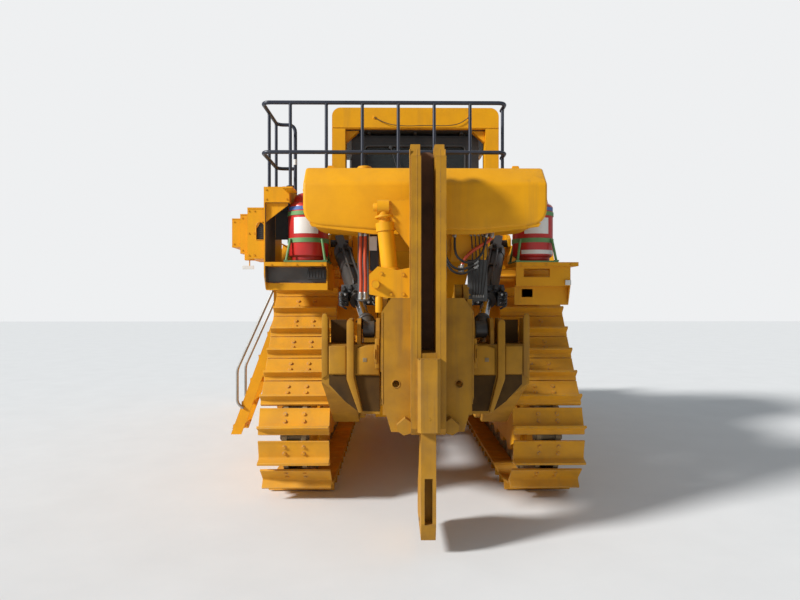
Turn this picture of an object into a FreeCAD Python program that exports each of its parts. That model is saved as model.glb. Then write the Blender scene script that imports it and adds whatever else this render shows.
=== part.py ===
import FreeCAD, Part
import math
import os
import re
import Sketcher
from FreeCAD import Vector, Rotation, Placement

# A large crawler tractor with a semi-U blade in front and a single-shank ripper behind.
# Millimetres. +Y is the way the machine drives, +X its right-hand side, +Z up.
# Every piece is modelled about a point halfway between the track idlers, row_lift above the ground,
# and the finished nodes are moved by row_shift and row_lift, so that the whole is centred and stands at zero.

sizes = {
    # tracks
    "track_gauge": 2550, "shoe_width": 710, "idler_spacing": 3740, "shoe_pitch": 278,
    "idler_chain_radius": 470, "drive_chain_radius": 500, "drive_back": 860, "drive_height": 1800,
    "link_half": 75, "link_inner": 70, "link_thick": 50, "shoe_plate": 25, "grouser_height": 90,
    "grouser_base": 34, "grouser_tip": 22, "shoe_gap": 14, "seat_gap": 0.3,
    "sprocket_width": 100, "tooth_count": 23, "tooth_height": 55, "tooth_rise": 30,
    "idler_width": 250, "idler_hub_radius": 120, "roller_radius": 140, "roller_count": 6,
    "roller_spacing": 470, "frame_half": 170, "frame_side": 30, "frame_beam_low": 560,
    "frame_beam_top": 900, "frame_side_low": 260, "frame_beam_half": 1480, "frame_crest_half": 1150,
    "trunnion_back": 200, "trunnion_height": 620, "trunnion_radius": 70,
    # main case and frame
    "case_half": 480, "case_back": 1850, "case_front": 900, "case_low": 640, "case_top": 1700,
    "tower_half": 450, "tower_back": 1100, "tower_front": 800, "deck_low": 2350, "deck_top": 2450,
    "deck_half": 900, "deck_back": 1150, "deck_front": 940, "rail_inner": 300, "rail_outer": 420,
    "rail_low": 700, "rail_top": 1000, "rail_front": 2850, "pan_thick": 30, "bar_low": 540,
    "bar_half": 90, "bar_ahead": 1750, "pivot_radius": 110, "pivot_ahead": 200, "pivot_height": 760,
    "final_radius": 300, "final_flange_radius": 380, "final_flange_thick": 125, "final_nose_radius": 240,
    # engine, hood and radiator guard
    "engine_half": 380, "engine_back": 1060, "engine_front": 2400, "engine_top": 2500,
    "hood_half": 600, "hood_skin": 30, "hood_back": 950, "hood_low": 1700, "hood_top_back": 2950,
    "hood_top_front": 2760, "guard_half": 750, "guard_back": 2550, "guard_top": 2800,
    "guard_skin": 60, "grille_depth": 60, "door_back": 1010, "door_front": 2190, "door_low": 1850,
    "door_top": 2650, "door_thick": 28, "door_gap": 5, "stack_radius": 85, "stack_ahead": 1650,
    "stack_side": 330, "stack_top": 3750, "hinge_knuckle": 18, "hinge_wire": 10, "hinge_tall": 110,
    "cleaner_radius": 190, "cleaner_ahead": 1250, "cleaner_side": 330, "cleaner_tall": 520,
    # cab
    "cab_half": 830, "cab_back": 550, "cab_front": 930, "cab_wall": 60, "cab_floor": 40,
    "cab_tall": 1550, "cab_roof": 60, "cab_door_back": 300, "cab_door_front": 860,
    "cab_door_low": 2605, "cab_door_head": 60, "cab_sill": 3020, "rear_glass_half": 640,
    "rear_glass_low": 3000, "glass_thick": 8,
    # roll-over frame
    "post_outer": 1070, "post_inner": 900, "post_back": 700, "post_deep": 250, "canopy_rise": 140,
    "canopy_tall": 270, "canopy_front": 1050, "canopy_round": 110,
    # fenders
    "fender_inner": 905, "fender_outer": 1575, "fender_top": 2585, "fender_thick": 45,
    "fender_front": 1000, "shelf_top": 2330, "shelf_thick": 40, "shelf_inner": 950, "shelf_back": 2400,
    "shelf_front": 1500, "slope_front": 1350, "wall_thick": 12, "wall_low": 2050, "wall_top": 2925,
    "hutch_inner": 1320, "hutch_top": 3080, "hutch_front": 1850, "step_panel_low": 1900,
    # fuel tank, its stand and the guard rail on it
    "tank_half": 1075, "tank_back": 3140, "tank_front": 2450, "tank_low": 2560, "tank_top": 3150,
    "tank_keel": 60, "tank_slope_low": 2990, "tank_slope_deep": 180, "tank_round": 150,
    "stand_front": 1200, "stand_back": 2900, "stand_lip": 2400, "stand_root": 1900,
    "rail_tube": 19, "rail_back": 2630, "rail_rise": 695, "rail_mid_share": 0.3165, "rail_post_radius": 16,
    "rail_right": 800, "rail_left": 1540, "rail_side_front": 1880, "rail_post_pitch": 345, "rail_post_count": 7,
    "rail_return": 240, "rail_bend": 80, "rail_inward": 195,
    # fire bottles and service boxes
    "bottle_radius": 205, "bottle_side": 1160, "bottle_back": 2190, "bottle_tall": 605, "bottle_foot": 15,
    "box_outer": 1750, "box_back": 2350, "box_front": 1750, "box_low": 2365, "box_top": 2880,
    "box_wall": 14, "window_half": 43, "window_side": 1620, "window_low": 2555, "window_top": 2695,
    "box_mid_outer": 1850, "box_end_outer": 1955,
    # ladder
    "ladder_low": 270, "ladder_knee": 1720, "ladder_back": 905, "ladder_low_side": 2245,
    "ladder_top_side": 1711, "step_count": 5, "step_wide": 380, "step_deep": 130, "step_thick": 45,
    "stringer_thick": 12, "grip_radius": 17,
    # blade
    "blade_half": 2470, "blade_centre_half": 1860, "wing_reach": 360, "blade_height": 2100,
    "blade_low": -90, "blade_face": 3620, "blade_hollow": 200, "blade_lean": 60, "blade_skin": 45,
    "brace_foot_ahead": 2300, "brace_foot_height": 650, "brace_side": 1560, "brace_head_height": 1680,
    "brace_radius": 62,
    "edge_thick": 45, "edge_height": 260, "box_rear": 3300, "box_bottom": 200, "box_crest": 1020,
    "arm_knee": 900,
    "arm_gap": 40, "arm_wide": 180, "arm_eye_radius": 150, "arm_low": 330, "arm_top": 700,
    "lift_side": 860, "lift_ahead": 2300, "lift_height": 2700, "lift_eye_ahead": 3150,
    "lift_eye_height": 900, "lift_barrel_radius": 95, "lift_rod_radius": 55, "lift_barrel_up": 1200,
    "lift_barrel_down": 350, "lift_rod_in": 600, "lift_eye_radius": 70, "lift_eye_thick": 60,
    "running_gap": 0.05, "rod_neck_long": 150, "rod_neck_radius": 29,
    # ripper
    "hinge_back": 2000, "hinge_height": 800, "hinge_pin": 60, "arm_plate_inner": 640,
    "arm_plate_outer": 905, "carry_back": 3050, "carry_height": 1250, "carry_pin": 60,
    "cross_front": 2520, "cross_back": 2760,
    "beam_back": 3180, "beam_front": 2900, "beam_top": 1565, "beam_low": 960, "stub_inner": 400,
    "link_rise": 750, "link_pin": 45, "link_half_wide": 30, "link_side": 294, "side_plate_in": 330,
    "side_plate_out": 370, "mast_half": 140, "mast_back": 3640, "mast_front": 3250, "mast_low": 870,
    "mast_top": 3240, "mast_step": 140, "mast_step_back": 3500, "mast_web_low": 1300, "shank_half": 60,
    "shank_top": 1530, "shank_low": 20, "shank_gap": 0.3, "foot_front": 2905, "foot_bottom_front": 2960,
    "foot_throat": 3200, "tip_back": 3040, "bracket_half": 600, "carriage_low": 1000, "shelf_low": 1020,
    "shelf_pitch": 400, "shelf_tall": 35,
    "keeper_half": 90, "keeper_low": 910, "keeper_top": 1490, "keeper_deep": 70, "plate_half": 380,
    "plate_back": 3480, "plate_thick": 40, "plate_top": 1970, "plate_hole": 30,
    "plate_hole_side": 260, "plate_hole_height": 1265, "tip_pin": 22, "lip_deep": 85, "lip_out": 255,
    "jack_back": 3400, "jack_foot_side": 312, "jack_foot_height": 2190, "jack_eye_side": 366,
    "jack_eye_height": 2725, "jack_radius": 68, "jack_eye_radius": 62,
    "head_side": 870, "head_back": 1780, "head_height": 2570, "rod_side": 500, "rod_back": 3040,
    "rod_height": 1690, "ripper_barrel_radius": 92, "ripper_rod_radius": 50,
    "ripper_barrel_long": 1120, "head_pin": 40, "head_block": 90, "head_gap": 100, "head_ear": 30,
    "cheek_half": 44, "fork_thick": 28, "rod_eye_radius": 75, "rod_eye_thick": 96,
    # placing
    "row_shift": -181.75, "row_lift": 120,
}

doc = FreeCAD.newDocument("crawler_dozer")
sheet = doc.addObject("Spreadsheet::Sheet", "sizes")
for row, (name, value) in enumerate(sizes.items(), start=1):
    sheet.set(f"A{row}", name)
    sheet.set(f"B{row}", str(value))
    sheet.setAlias(f"B{row}", name)
doc.recompute()

word = re.compile(r"[a-z][a-z_0-9]*")
# Heights that follow from others: the cab's eave from the deck, the tank stand's top from the tank.
follows = {"cab_eave": "deck_top + cab_tall", "stand_top": "tank_low"}


def get(name):
    return float(sheet.get(name))


# An expression with each size's name turned into its cell in the sheet.
def bound(text):
    def cell(found):
        name = found.group(0)
        if name in follows:
            return "(" + bound(follows[name]) + ")"
        return "sizes." + name if name in sizes else name

    return word.sub(cell, str(text))


turns = {"X": Rotation(Vector(0, 1, 0), 90), "Y": Rotation(Vector(1, 0, 0), -90), "Z": Rotation()}


def put(thing, x, y, z, axis="Z"):
    thing.Placement = Placement(Vector(0, 0, 0), turns[axis])
    for letter, text in zip("xyz", (x, y, z)):
        thing.setExpression(f"Placement.Base.{letter}", bound(text))
    return thing


# A block between two corners.
def block(name, x0, x1, y0, y1, z0, z1):
    thing = doc.addObject("Part::Box", name)
    thing.setExpression("Length", bound(f"({x1}) - ({x0})"))
    thing.setExpression("Width", bound(f"({y1}) - ({y0})"))
    thing.setExpression("Height", bound(f"({z1}) - ({z0})"))
    return put(thing, x0, y0, z0)


# A cylinder that starts at a point and runs along a row axis.
def round_bar(name, axis, x, y, z, radius, length):
    thing = doc.addObject("Part::Cylinder", name)
    thing.setExpression("Radius", bound(radius))
    thing.setExpression("Height", bound(length))
    return put(thing, x, y, z, axis)


def fuse(name, *things):
    thing = doc.addObject("Part::MultiFuse", name)
    thing.Shapes = list(things)
    thing.Refine = True
    return thing


def cut(name, base, tool):
    thing = doc.addObject("Part::Cut", name)
    thing.Base = base
    thing.Tool = tool
    thing.Refine = True
    return thing


def mirrored(name, source):
    thing = doc.addObject("Part::Mirroring", name)
    thing.Source = source
    thing.Normal = Vector(1, 0, 0)
    return thing


# A shape that Part's own functions make from the sheet's sizes.
def shaped(name, shape):
    thing = doc.addObject("Part::Feature", name)
    thing.Shape = shape
    return thing


plane_roles = {"XY": "XY_Plane", "XZ": "XZ_Plane", "YZ": "YZ_Plane"}


# A closed sketch on a body's own plane, each corner held by two dimensions from the origin.
def outline(body, name, plane, corners, offset):
    sketch = body.newObject("Sketcher::SketchObject", name)
    origin = [item for item in body.Origin.OriginFeatures if item.Role == plane_roles[plane]][0]
    sketch.AttachmentSupport = [(origin, "")]
    sketch.MapMode = "FlatFace"
    sketch.setExpression("AttachmentOffset.Base.z", bound(offset))
    count = len(corners)
    start = [Vector(1000 * math.cos(2 * math.pi * k / count), 1000 * math.sin(2 * math.pi * k / count), 0)
             for k in range(count)]
    lines = [Part.LineSegment(start[k], start[(k + 1) % count]) for k in range(count)]
    sketch.addGeometry(lines, False)
    joins = [Sketcher.Constraint("Coincident", k, 2, (k + 1) % count, 1) for k in range(count)]
    sketch.addConstraint(joins)
    for k, (across, up) in enumerate(corners):
        number = sketch.addConstraint(Sketcher.Constraint("DistanceX", -1, 1, k, 1, start[k].x))
        sketch.setExpression(f"Constraints[{number}]", bound(across))
        number = sketch.addConstraint(Sketcher.Constraint("DistanceY", -1, 1, k, 1, start[k].y))
        sketch.setExpression(f"Constraints[{number}]", bound(up))
    return sketch


# A pad between two places along the plane's own axis. rounds gives a radius to numbered corners.
def pad(name, plane, corners, start, end, rounds=None):
    body = doc.addObject("PartDesign::Body", name)
    offset = f"-({end})" if plane == "XZ" else start
    sketch = outline(body, name + "_outline", plane, corners, offset)
    feature = body.newObject("PartDesign::Pad", name + "_pad")
    feature.Profile = sketch
    feature.setExpression("Length", bound(f"({end}) - ({start})"))
    doc.recompute()
    for radius, numbers in (rounds or {}).items():
        corner_round(body, name, plane, radius, [sketch.Geometry[k].StartPoint for k in numbers])
    return body


def corner_round(body, name, plane, radius, points):
    across, up = {"XY": "xy", "XZ": "xz", "YZ": "yz"}[plane]
    before = body.Tip
    edges = []
    for number, edge in enumerate(before.Shape.Edges, start=1):
        ends = [vertex.Point for vertex in edge.Vertexes]
        for point in points:
            near = all(abs(getattr(end, across) - point.x) < 0.01 and abs(getattr(end, up) - point.y) < 0.01
                       for end in ends)
            if near and len(ends) == 2:
                edges.append(f"Edge{number}")
    feature = body.newObject("PartDesign::Fillet", f"{name}_round_{len(body.Group)}")
    feature.Base = (before, edges)
    feature.setExpression("Radius", bound(radius))
    doc.recompute()


nodes = []


# A finished sub-part: one or more solids that don't touch, moved to the row's own origin.
def node(name, *things):
    thing = doc.addObject("Part::Compound", name)
    thing.Label = name
    thing.Links = list(things)
    thing.setExpression("Placement.Base.y", bound("row_shift"))
    thing.setExpression("Placement.Base.z", bound("row_lift"))
    nodes.append(thing)
    return thing


def pair(name, thing):
    return node(name, thing, mirrored(name + "_other", thing))


# A door hinge on a right-hand face: the fixed half carries the pin, the moving half turns on it.
def hinge(name, face, gap_line, low):
    pin_x = f"{face} + hinge_knuckle"
    pin = round_bar(f"{name}_pin", "Z", pin_x, gap_line, low, "hinge_wire", "hinge_tall")
    knuckle = round_bar(f"{name}_fixed_knuckle", "Z", pin_x, gap_line, low, "hinge_knuckle", "hinge_tall / 2 - 1")
    leaf = block(f"{name}_fixed_leaf", face, f"{face} + 10", f"{gap_line} - 70", f"{gap_line} - 3", low,
                 f"{low} + hinge_tall / 2 - 1")
    arm = block(f"{name}_fixed_arm", f"{face}", pin_x, f"{gap_line} - 16", f"{gap_line} - 4", low,
                f"{low} + hinge_tall / 2 - 1")
    fixed = fuse(f"{name}_fixed", pin, knuckle, leaf, arm)
    outer = round_bar(f"{name}_outer", "Z", pin_x, gap_line, f"{low} + hinge_tall / 2", "hinge_knuckle",
                      "hinge_tall / 2")
    hole = round_bar(f"{name}_hole", "Z", pin_x, gap_line, f"{low} + hinge_tall / 2 - 5",
                     "hinge_wire + running_gap", "hinge_tall / 2 + 20")
    swing_leaf = block(f"{name}_swing_leaf", f"{face} - 1", f"{face} + 10", f"{gap_line} + 3",
                       f"{gap_line} + 70",
                       f"{low} + hinge_tall / 2", f"{low} + hinge_tall")
    swing_arm = block(f"{name}_swing_arm", face, pin_x, f"{gap_line} + 4", f"{gap_line} + 16",
                      f"{low} + hinge_tall / 2", f"{low} + hinge_tall")
    swinging = cut(f"{name}_swinging", fuse(f"{name}_swing", outer, swing_leaf, swing_arm), hole)
    return fixed, swinging


# Tracks. The chain's pins lie on a belt line round three wheels: rear idler, raised sprocket, front idler.
# The idlers' height, with the grousers' tips on the ground, which lies row_lift below the heights' zero.
def chain_height():
    thick = get("link_half") + get("shoe_plate") + get("grouser_height")
    return get("idler_chain_radius") + thick - get("row_lift")


def belt_wheels():
    low = chain_height()
    half = get("idler_spacing") / 2
    return [(Vector(0, -half, low), get("idler_chain_radius")),
            (Vector(0, -get("drive_back"), get("drive_height")), get("drive_chain_radius")),
            (Vector(0, half, low), get("idler_chain_radius"))]


# The belt as pieces: straight runs and arcs, going up the back, over the sprocket and down the front.
def belt_pieces():
    wheels = belt_wheels()
    runs = []
    for k in range(3):
        centre, radius = wheels[k]
        following, other = wheels[(k + 1) % 3]
        along = following - centre
        distance = along.Length
        heading = math.atan2(along.z, along.y)
        side = heading + math.acos((radius - other) / distance)
        out = Vector(0, math.cos(side), math.sin(side))
        runs.append((centre + out * radius, following + out * other, side))
    pieces = []
    for k in range(3):
        begin, end, side = runs[k]
        pieces.append(("run", (end - begin).Length, begin, end, side))
        centre, radius = wheels[(k + 1) % 3]
        turn = (side - runs[(k + 1) % 3][2]) % (2 * math.pi)
        pieces.append(("arc", radius * turn, centre, radius, side))
    return pieces


def belt_point(pieces, distance):
    distance %= sum(piece[1] for piece in pieces)
    for kind, length, first, second, side in pieces:
        if distance <= length:
            if kind == "run":
                return first + (second - first) * (distance / length)
            angle = side - distance / second
            return first + Vector(0, math.cos(angle), math.sin(angle)) * second
        distance -= length
    return pieces[0][2]


def belt_pins():
    pieces = belt_pieces()
    total = sum(piece[1] for piece in pieces)
    count = round(total / get("shoe_pitch"))
    return [belt_point(pieces, total * k / count) for k in range(count)]


# The corner of a ring of chords moved outwards by the same distance.
def ring_corner(before, here, after, outward):
    first = (here - before).normalize()
    second = (after - here).normalize()
    first_out = Vector(0, -first.z, first.y)
    second_out = Vector(0, -second.z, second.y)
    middle = (first_out + second_out).normalize()
    return here + middle * (outward / middle.dot(first_out))


def ring(pins, outward):
    count = len(pins)
    return [ring_corner(pins[k - 1], pins[k], pins[(k + 1) % count], outward) for k in range(count)]


def face_of(points, x):
    closed = [Vector(x, point.y, point.z) for point in points]
    return Part.Face(Part.makePolygon(closed + closed[:1]))


# One endless chain: two link rails with a single-grouser shoe on every pair of links.
def track_loop(side):
    middle = side * get("track_gauge") / 2
    pins = belt_pins()
    half = get("link_half")
    rails = []
    for edge in (-get("link_inner") - get("link_thick"), get("link_inner")):
        outer = face_of(ring(pins, half), middle + edge).extrude(Vector(get("link_thick"), 0, 0))
        inner = face_of(ring(pins, -half), middle + edge).extrude(Vector(get("link_thick"), 0, 0))
        rails.append(outer.cut(inner))
    shoes = []
    for k, pin in enumerate(pins):
        following = pins[(k + 1) % len(pins)]
        along = (following - pin).normalize()
        out = Vector(0, -along.z, along.y)
        long = (following - pin).Length - get("shoe_gap")
        middle_point = (pin + following) * 0.5
        crest = half + get("shoe_plate")
        ridge = -long * 0.28
        profile = [(-long / 2, half), (long / 2, half), (long / 2, crest),
                   (ridge + get("grouser_base") / 2, crest),
                   (ridge + get("grouser_tip") / 2, crest + get("grouser_height")),
                   (ridge - get("grouser_tip") / 2, crest + get("grouser_height")),
                   (ridge - get("grouser_base") / 2, crest), (-long / 2, crest)]
        points = [middle_point + along * a + out * b for a, b in profile]
        shoes.append(face_of(points, middle - get("shoe_width") / 2).extrude(Vector(get("shoe_width"), 0, 0)))
    return rails[0].fuse(rails[1:] + shoes).removeSplitter()


for side, name in ((-1, "track_left"), (1, "track_right")):
    node(name, shaped(name + "_chain", track_loop(side)))

gauge_half = "track_gauge / 2"
arm_in = f"({gauge_half} + shoe_width / 2 + arm_gap)"
arm_out = f"({arm_in} + arm_wide)"
idler_height = "(idler_chain_radius + link_half + shoe_plate + grouser_height - row_lift)"
rail_line = "(shoe_plate + grouser_height + 2 * link_half - row_lift)"
roller_height = f"({rail_line} + seat_gap + roller_radius)"


# The idlers run inside the chain's chords, which cut in from the pin line by half a pitch's sagitta.
def idler_radius():
    reach = get("idler_chain_radius")
    return math.sqrt(reach ** 2 - (get("shoe_pitch") / 2) ** 2) - get("link_half") - 2


# Idlers, each a rim on a wide hub that fills the gap between the frame's side plates.
def idler(name, ahead):
    low = chain_height()
    half = get("frame_half")
    middle = get("track_gauge") / 2
    start = Vector(middle - get("idler_width") / 2, ahead, low)
    rim = Part.makeCylinder(idler_radius(), get("idler_width"), start, Vector(1, 0, 0))
    hub = Part.makeCylinder(get("idler_hub_radius"), 2 * half, Vector(middle - half, ahead, low), Vector(1, 0, 0))
    return shaped(name, rim.fuse(hub).removeSplitter())


rear_idler = idler("rear_idler", -get("idler_spacing") / 2)
front_idler = idler("front_idler", get("idler_spacing") / 2)
node("idlers", rear_idler, front_idler, mirrored("rear_idler_left", rear_idler),
     mirrored("front_idler_left", front_idler))

rollers = []
for k in range(int(get("roller_count"))):
    place = f"({k} - (roller_count - 1) / 2) * roller_spacing"
    roller = round_bar(f"roller_{k + 1}", "X", f"{gauge_half} - frame_half", place, roller_height,
                       "roller_radius", "2 * frame_half")
    rollers += [roller, mirrored(f"roller_{k + 1}_left", roller)]
node("track_rollers", *rollers)

# Track frames: a deep beam between two side plates that carry the idlers, rollers and blade trunnion.
beam = pad("frame_beam", "YZ",
           [("-frame_beam_half", "frame_beam_low"), ("frame_beam_half", "frame_beam_low"),
            ("frame_beam_half", "frame_beam_top - 120"),
            ("frame_crest_half", "frame_beam_top"), ("-frame_crest_half", "frame_beam_top"),
            ("-frame_beam_half", "frame_beam_top - 120")],
           f"{gauge_half} - frame_half", f"{gauge_half} + frame_half")
side_corners = [("-idler_spacing / 2 - 120", f"{idler_height} - 90"),
                ("-idler_spacing / 2 - 120", f"{idler_height} + 90"),
                ("-frame_beam_half - 20", "frame_beam_top - 80"), ("frame_beam_half + 20", "frame_beam_top - 80"),
                ("idler_spacing / 2 + 120", f"{idler_height} + 90"),
                ("idler_spacing / 2 + 120", f"{idler_height} - 90"),
                ("frame_beam_half - 30", "frame_side_low"), ("-frame_beam_half + 30", "frame_side_low")]
inner_side = pad("frame_inner_side", "YZ", side_corners, f"{gauge_half} - frame_half - frame_side",
                 f"{gauge_half} - frame_half", {"60": [0, 1, 4, 5]})
outer_side = pad("frame_outer_side", "YZ", side_corners, f"{gauge_half} + frame_half",
                 f"{gauge_half} + frame_half + frame_side", {"60": [0, 1, 4, 5]})
trunnion = round_bar("trunnion", "X", f"{gauge_half} + frame_half", "-trunnion_back", "trunnion_height",
                     "trunnion_radius", f"{arm_out} + 35 - {gauge_half} - frame_half")
trunnion_foot = round_bar("trunnion_foot", "X", f"{gauge_half} + frame_half", "-trunnion_back", "trunnion_height",
                          "trunnion_radius * 1.6", f"{arm_in} - 12 - {gauge_half} - frame_half")
trunnion_cap = round_bar("trunnion_cap", "X", f"{arm_out} + 6", "-trunnion_back", "trunnion_height",
                         "trunnion_radius * 1.35", "29")
frame_right = fuse("frame_right_weldment", beam, inner_side, outer_side, trunnion, trunnion_foot, trunnion_cap)
node("track_frame_right", frame_right)
node("track_frame_left", mirrored("frame_left_weldment", frame_right))


# Sprockets: twice as many tooth places as the pins that lie on the wheel.
def sprocket():
    centre = Vector(get("track_gauge") / 2 - get("sprocket_width") / 2, -get("drive_back"), get("drive_height"))
    count = int(get("tooth_count"))
    tip = get("drive_chain_radius") + get("tooth_rise")
    root = tip - get("tooth_height")
    points = []
    for k in range(count):
        for share, radius in ((-0.36, root), (-0.15, tip), (0.15, tip), (0.36, root)):
            angle = 2 * math.pi * (k + share) / count
            points.append(centre + Vector(0, math.cos(angle), math.sin(angle)) * radius)
    rim = face_of(points, centre.x).extrude(Vector(get("sprocket_width"), 0, 0))
    bore = Part.makeCylinder(get("final_nose_radius"), get("sprocket_width"), centre, Vector(1, 0, 0))
    return rim.cut(bore)


sprocket_right = shaped("sprocket_right", sprocket())
pair("sprockets", sprocket_right)

# Final drives: a long housing from the main case, a flange behind the sprocket and a nose through it.
drive_y = "-drive_back"
flange_end = f"{gauge_half} - sprocket_width / 2"
final_body = round_bar("final_body", "X", "case_half", drive_y, "drive_height", "final_radius",
                       f"{flange_end} - case_half")
final_flange = round_bar("final_flange", "X", f"{flange_end} - final_flange_thick", drive_y, "drive_height",
                         "final_flange_radius", "final_flange_thick")
final_nose = round_bar("final_nose", "X", flange_end, drive_y, "drive_height", "final_nose_radius", "200")
pair("final_drives", fuse("final_drive_right", final_body, final_flange, final_nose))

# Main case with the tower under the cab, and the two long frame rails in front of it.
case = pad("case_block", "YZ",
           [("-case_back", "case_low + 160"), ("-case_back", "case_top"), ("case_front", "case_top"),
            ("case_front", "case_low"), ("-case_back + 160", "case_low")], "-case_half", "case_half")
tower = pad("case_tower", "YZ",
            [("-tower_back", "case_top"), ("-tower_back", "deck_low"), ("tower_front", "deck_low"),
             ("tower_front", "case_top")], "-tower_half", "tower_half")
frame_face = f"{gauge_half} - frame_half - frame_side"
pivot = round_bar("pivot_shaft", "X", "case_half - 20", "pivot_ahead", "pivot_height", "pivot_radius",
                  f"{frame_face} - case_half + 20")
node("main_case", fuse("main_case_body", case, tower, pivot, mirrored("pivot_shaft_left", pivot)))
rail = block("frame_rail", "rail_inner", "rail_outer", "case_front", "rail_front", "rail_low - pan_thick",
             "rail_top")
pan = block("belly_pan", "-rail_outer", "rail_outer", "case_front", "rail_front", "rail_low - pan_thick",
            "rail_low")
node("front_frame", fuse("front_frame_weldment", rail, mirrored("frame_rail_left", rail), pan))
node("equalizer_bar", pad("equalizer_beam", "XZ",
     [(f"-({frame_face})", "bar_low"), (f"-({frame_face})", "rail_low - pan_thick - 20"),
      ("-300", "rail_low - pan_thick"), ("300", "rail_low - pan_thick"),
      (frame_face, "rail_low - pan_thick - 20"), (frame_face, "bar_low"), ("300", "bar_low - 40"),
      ("-300", "bar_low - 40")], "bar_ahead - bar_half", "bar_ahead + bar_half"))

# Engine, hood with a door opening in each side, and the radiator guard.
node("engine_block", block("engine", "-engine_half", "engine_half", "engine_back", "engine_front", "rail_top",
                           "engine_top"))
hood_outer = pad("hood_outer", "YZ", [("hood_back", "hood_low"), ("hood_back", "hood_top_back"),
                 ("guard_back", "hood_top_front"), ("guard_back", "hood_low")], "-hood_half", "hood_half")
hood_inner = pad("hood_inner", "YZ", [("hood_back + hood_skin", "hood_low - 50"),
                 ("hood_back + hood_skin", "hood_top_back - hood_skin - 4"),
                 ("guard_back + 50", "hood_top_front - hood_skin - 10"), ("guard_back + 50", "hood_low - 50")],
                 "-hood_half + hood_skin", "hood_half - hood_skin")
hood_doorway = block("hood_doorway", "-hood_half - 50", "hood_half + 50", "door_back - door_gap",
                     "door_front + door_gap", "door_low - door_gap", "door_top + door_gap")
hood_hinges = [hinge(f"hood_hinge_{k + 1}", "hood_half", "door_back - door_gap / 2", low)
               for k, low in enumerate(("door_low + 90", "door_top - 90 - hinge_tall"))]
hood_fixed = [half[0] for half in hood_hinges]
node("hood", fuse("hood_weldment", cut("hood_shell", cut("hood_hollow", hood_outer, hood_inner), hood_doorway),
                  *hood_fixed, *[mirrored(f"{half.Name}_left", half) for half in hood_fixed]))
door_panel = block("engine_door_panel", "hood_half - door_thick", "hood_half", "door_back", "door_front",
                   "door_low", "door_top")
engine_door = fuse("engine_door_whole", door_panel, *[half[1] for half in hood_hinges])
node("engine_door_right", engine_door)
node("engine_door_left", mirrored("engine_door_other", engine_door))
guard_outer = pad("guard_outer", "XZ",
                  [("-guard_half", "rail_top"), ("-guard_half", "guard_top - 90"), ("-guard_half + 110", "guard_top"),
                   ("guard_half - 110", "guard_top"), ("guard_half", "guard_top - 90"), ("guard_half", "rail_top")],
                  "guard_back", "rail_front")
guard_recess = block("guard_recess", "-guard_half + guard_skin", "guard_half - guard_skin",
                     "rail_front - grille_depth", "rail_front + 50", "rail_top + guard_skin",
                     "guard_top - 90 - guard_skin")
trunnion_ear = block("lift_trunnion_ear", "hood_half", "guard_half", "lift_ahead - 100", "guard_back + 20",
                     "lift_height - 100", "lift_height + 90")
ear_bore = round_bar("lift_trunnion_bore", "X", "guard_half - 70", "lift_ahead", "lift_height",
                     "lift_rod_radius + running_gap", "100")
trunnion_seat = cut("lift_trunnion_seat", trunnion_ear, ear_bore)
node("radiator_guard", fuse("guard_weldment", cut("guard_shell", guard_outer, guard_recess), trunnion_seat,
                            mirrored("lift_trunnion_seat_left", trunnion_seat)))

# Deck plate over the tower, and the fenders that step down behind it over the tracks.
node("deck", block("deck_plate", "-deck_half", "deck_half", "-deck_back", "deck_front", "deck_low", "deck_top"))
fender_corners = [("-shelf_back", "shelf_top - shelf_thick"), ("-shelf_back", "shelf_top"),
                  ("-shelf_front - 30", "shelf_top"), ("-slope_front - 30", "fender_top"),
                  ("fender_front", "fender_top"), ("fender_front", "fender_top - fender_thick"),
                  ("-slope_front", "fender_top - fender_thick"), ("-shelf_front", "shelf_top - shelf_thick")]
fender_strip = pad("fender_strip", "YZ", fender_corners, "fender_inner", "fender_outer")
shelf_notch = block("shelf_notch", "fender_inner - 10", "shelf_inner", "-shelf_back - 10", "-head_back + 20",
                    "shelf_top - shelf_thick - 10", "shelf_top + 10")
fender_plate = cut("fender_plate", fender_strip, shelf_notch)
fender_web = block("fender_web", "deck_half", "fender_inner", "-deck_back", "deck_front", "deck_low",
                   "fender_top")
fender_plain = fuse("fender_plain", fender_plate, fender_web)

# Right side: below the shelf a step box with an opening to the rear over a deeper panel.
panel_out = "fender_outer - 75"
step_panel = block("step_panel", "shelf_inner", panel_out, "-shelf_back + 20", "-shelf_back + 32",
                   "step_panel_low + 200", "shelf_top - shelf_thick + 5")
step_hole = block("step_hole", "shelf_inner + 80", "shelf_inner + 340", "-shelf_back", "-shelf_back + 60",
                  "step_panel_low + 280", "shelf_top - shelf_thick - 25")
step_floor = block("step_floor", "shelf_inner", panel_out, "-shelf_back + 20", "-shelf_back + 110",
                   "step_panel_low + 190", "step_panel_low + 202")
low_panel = block("low_panel", "shelf_inner", panel_out, "-shelf_back + 98", "-shelf_back + 110",
                  "step_panel_low", "step_panel_low + 202")
right_skirt = pad("right_skirt", "YZ",
                  [("-shelf_back + 20", "step_panel_low + 190"), ("-shelf_back + 20", "shelf_top - 10"),
                  ("-shelf_front - 60", "shelf_top - 10"), ("-shelf_front - 100", "shelf_top - 150"),
                  ("-shelf_back + 200", "step_panel_low"), ("-shelf_back + 98", "step_panel_low")],
                  f"{panel_out} - wall_thick", panel_out)
node("fender_right", fuse("fender_right_weldment", fender_plain, cut("step_panel_open", step_panel, step_hole),
                          step_floor, low_panel, right_skirt))

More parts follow.
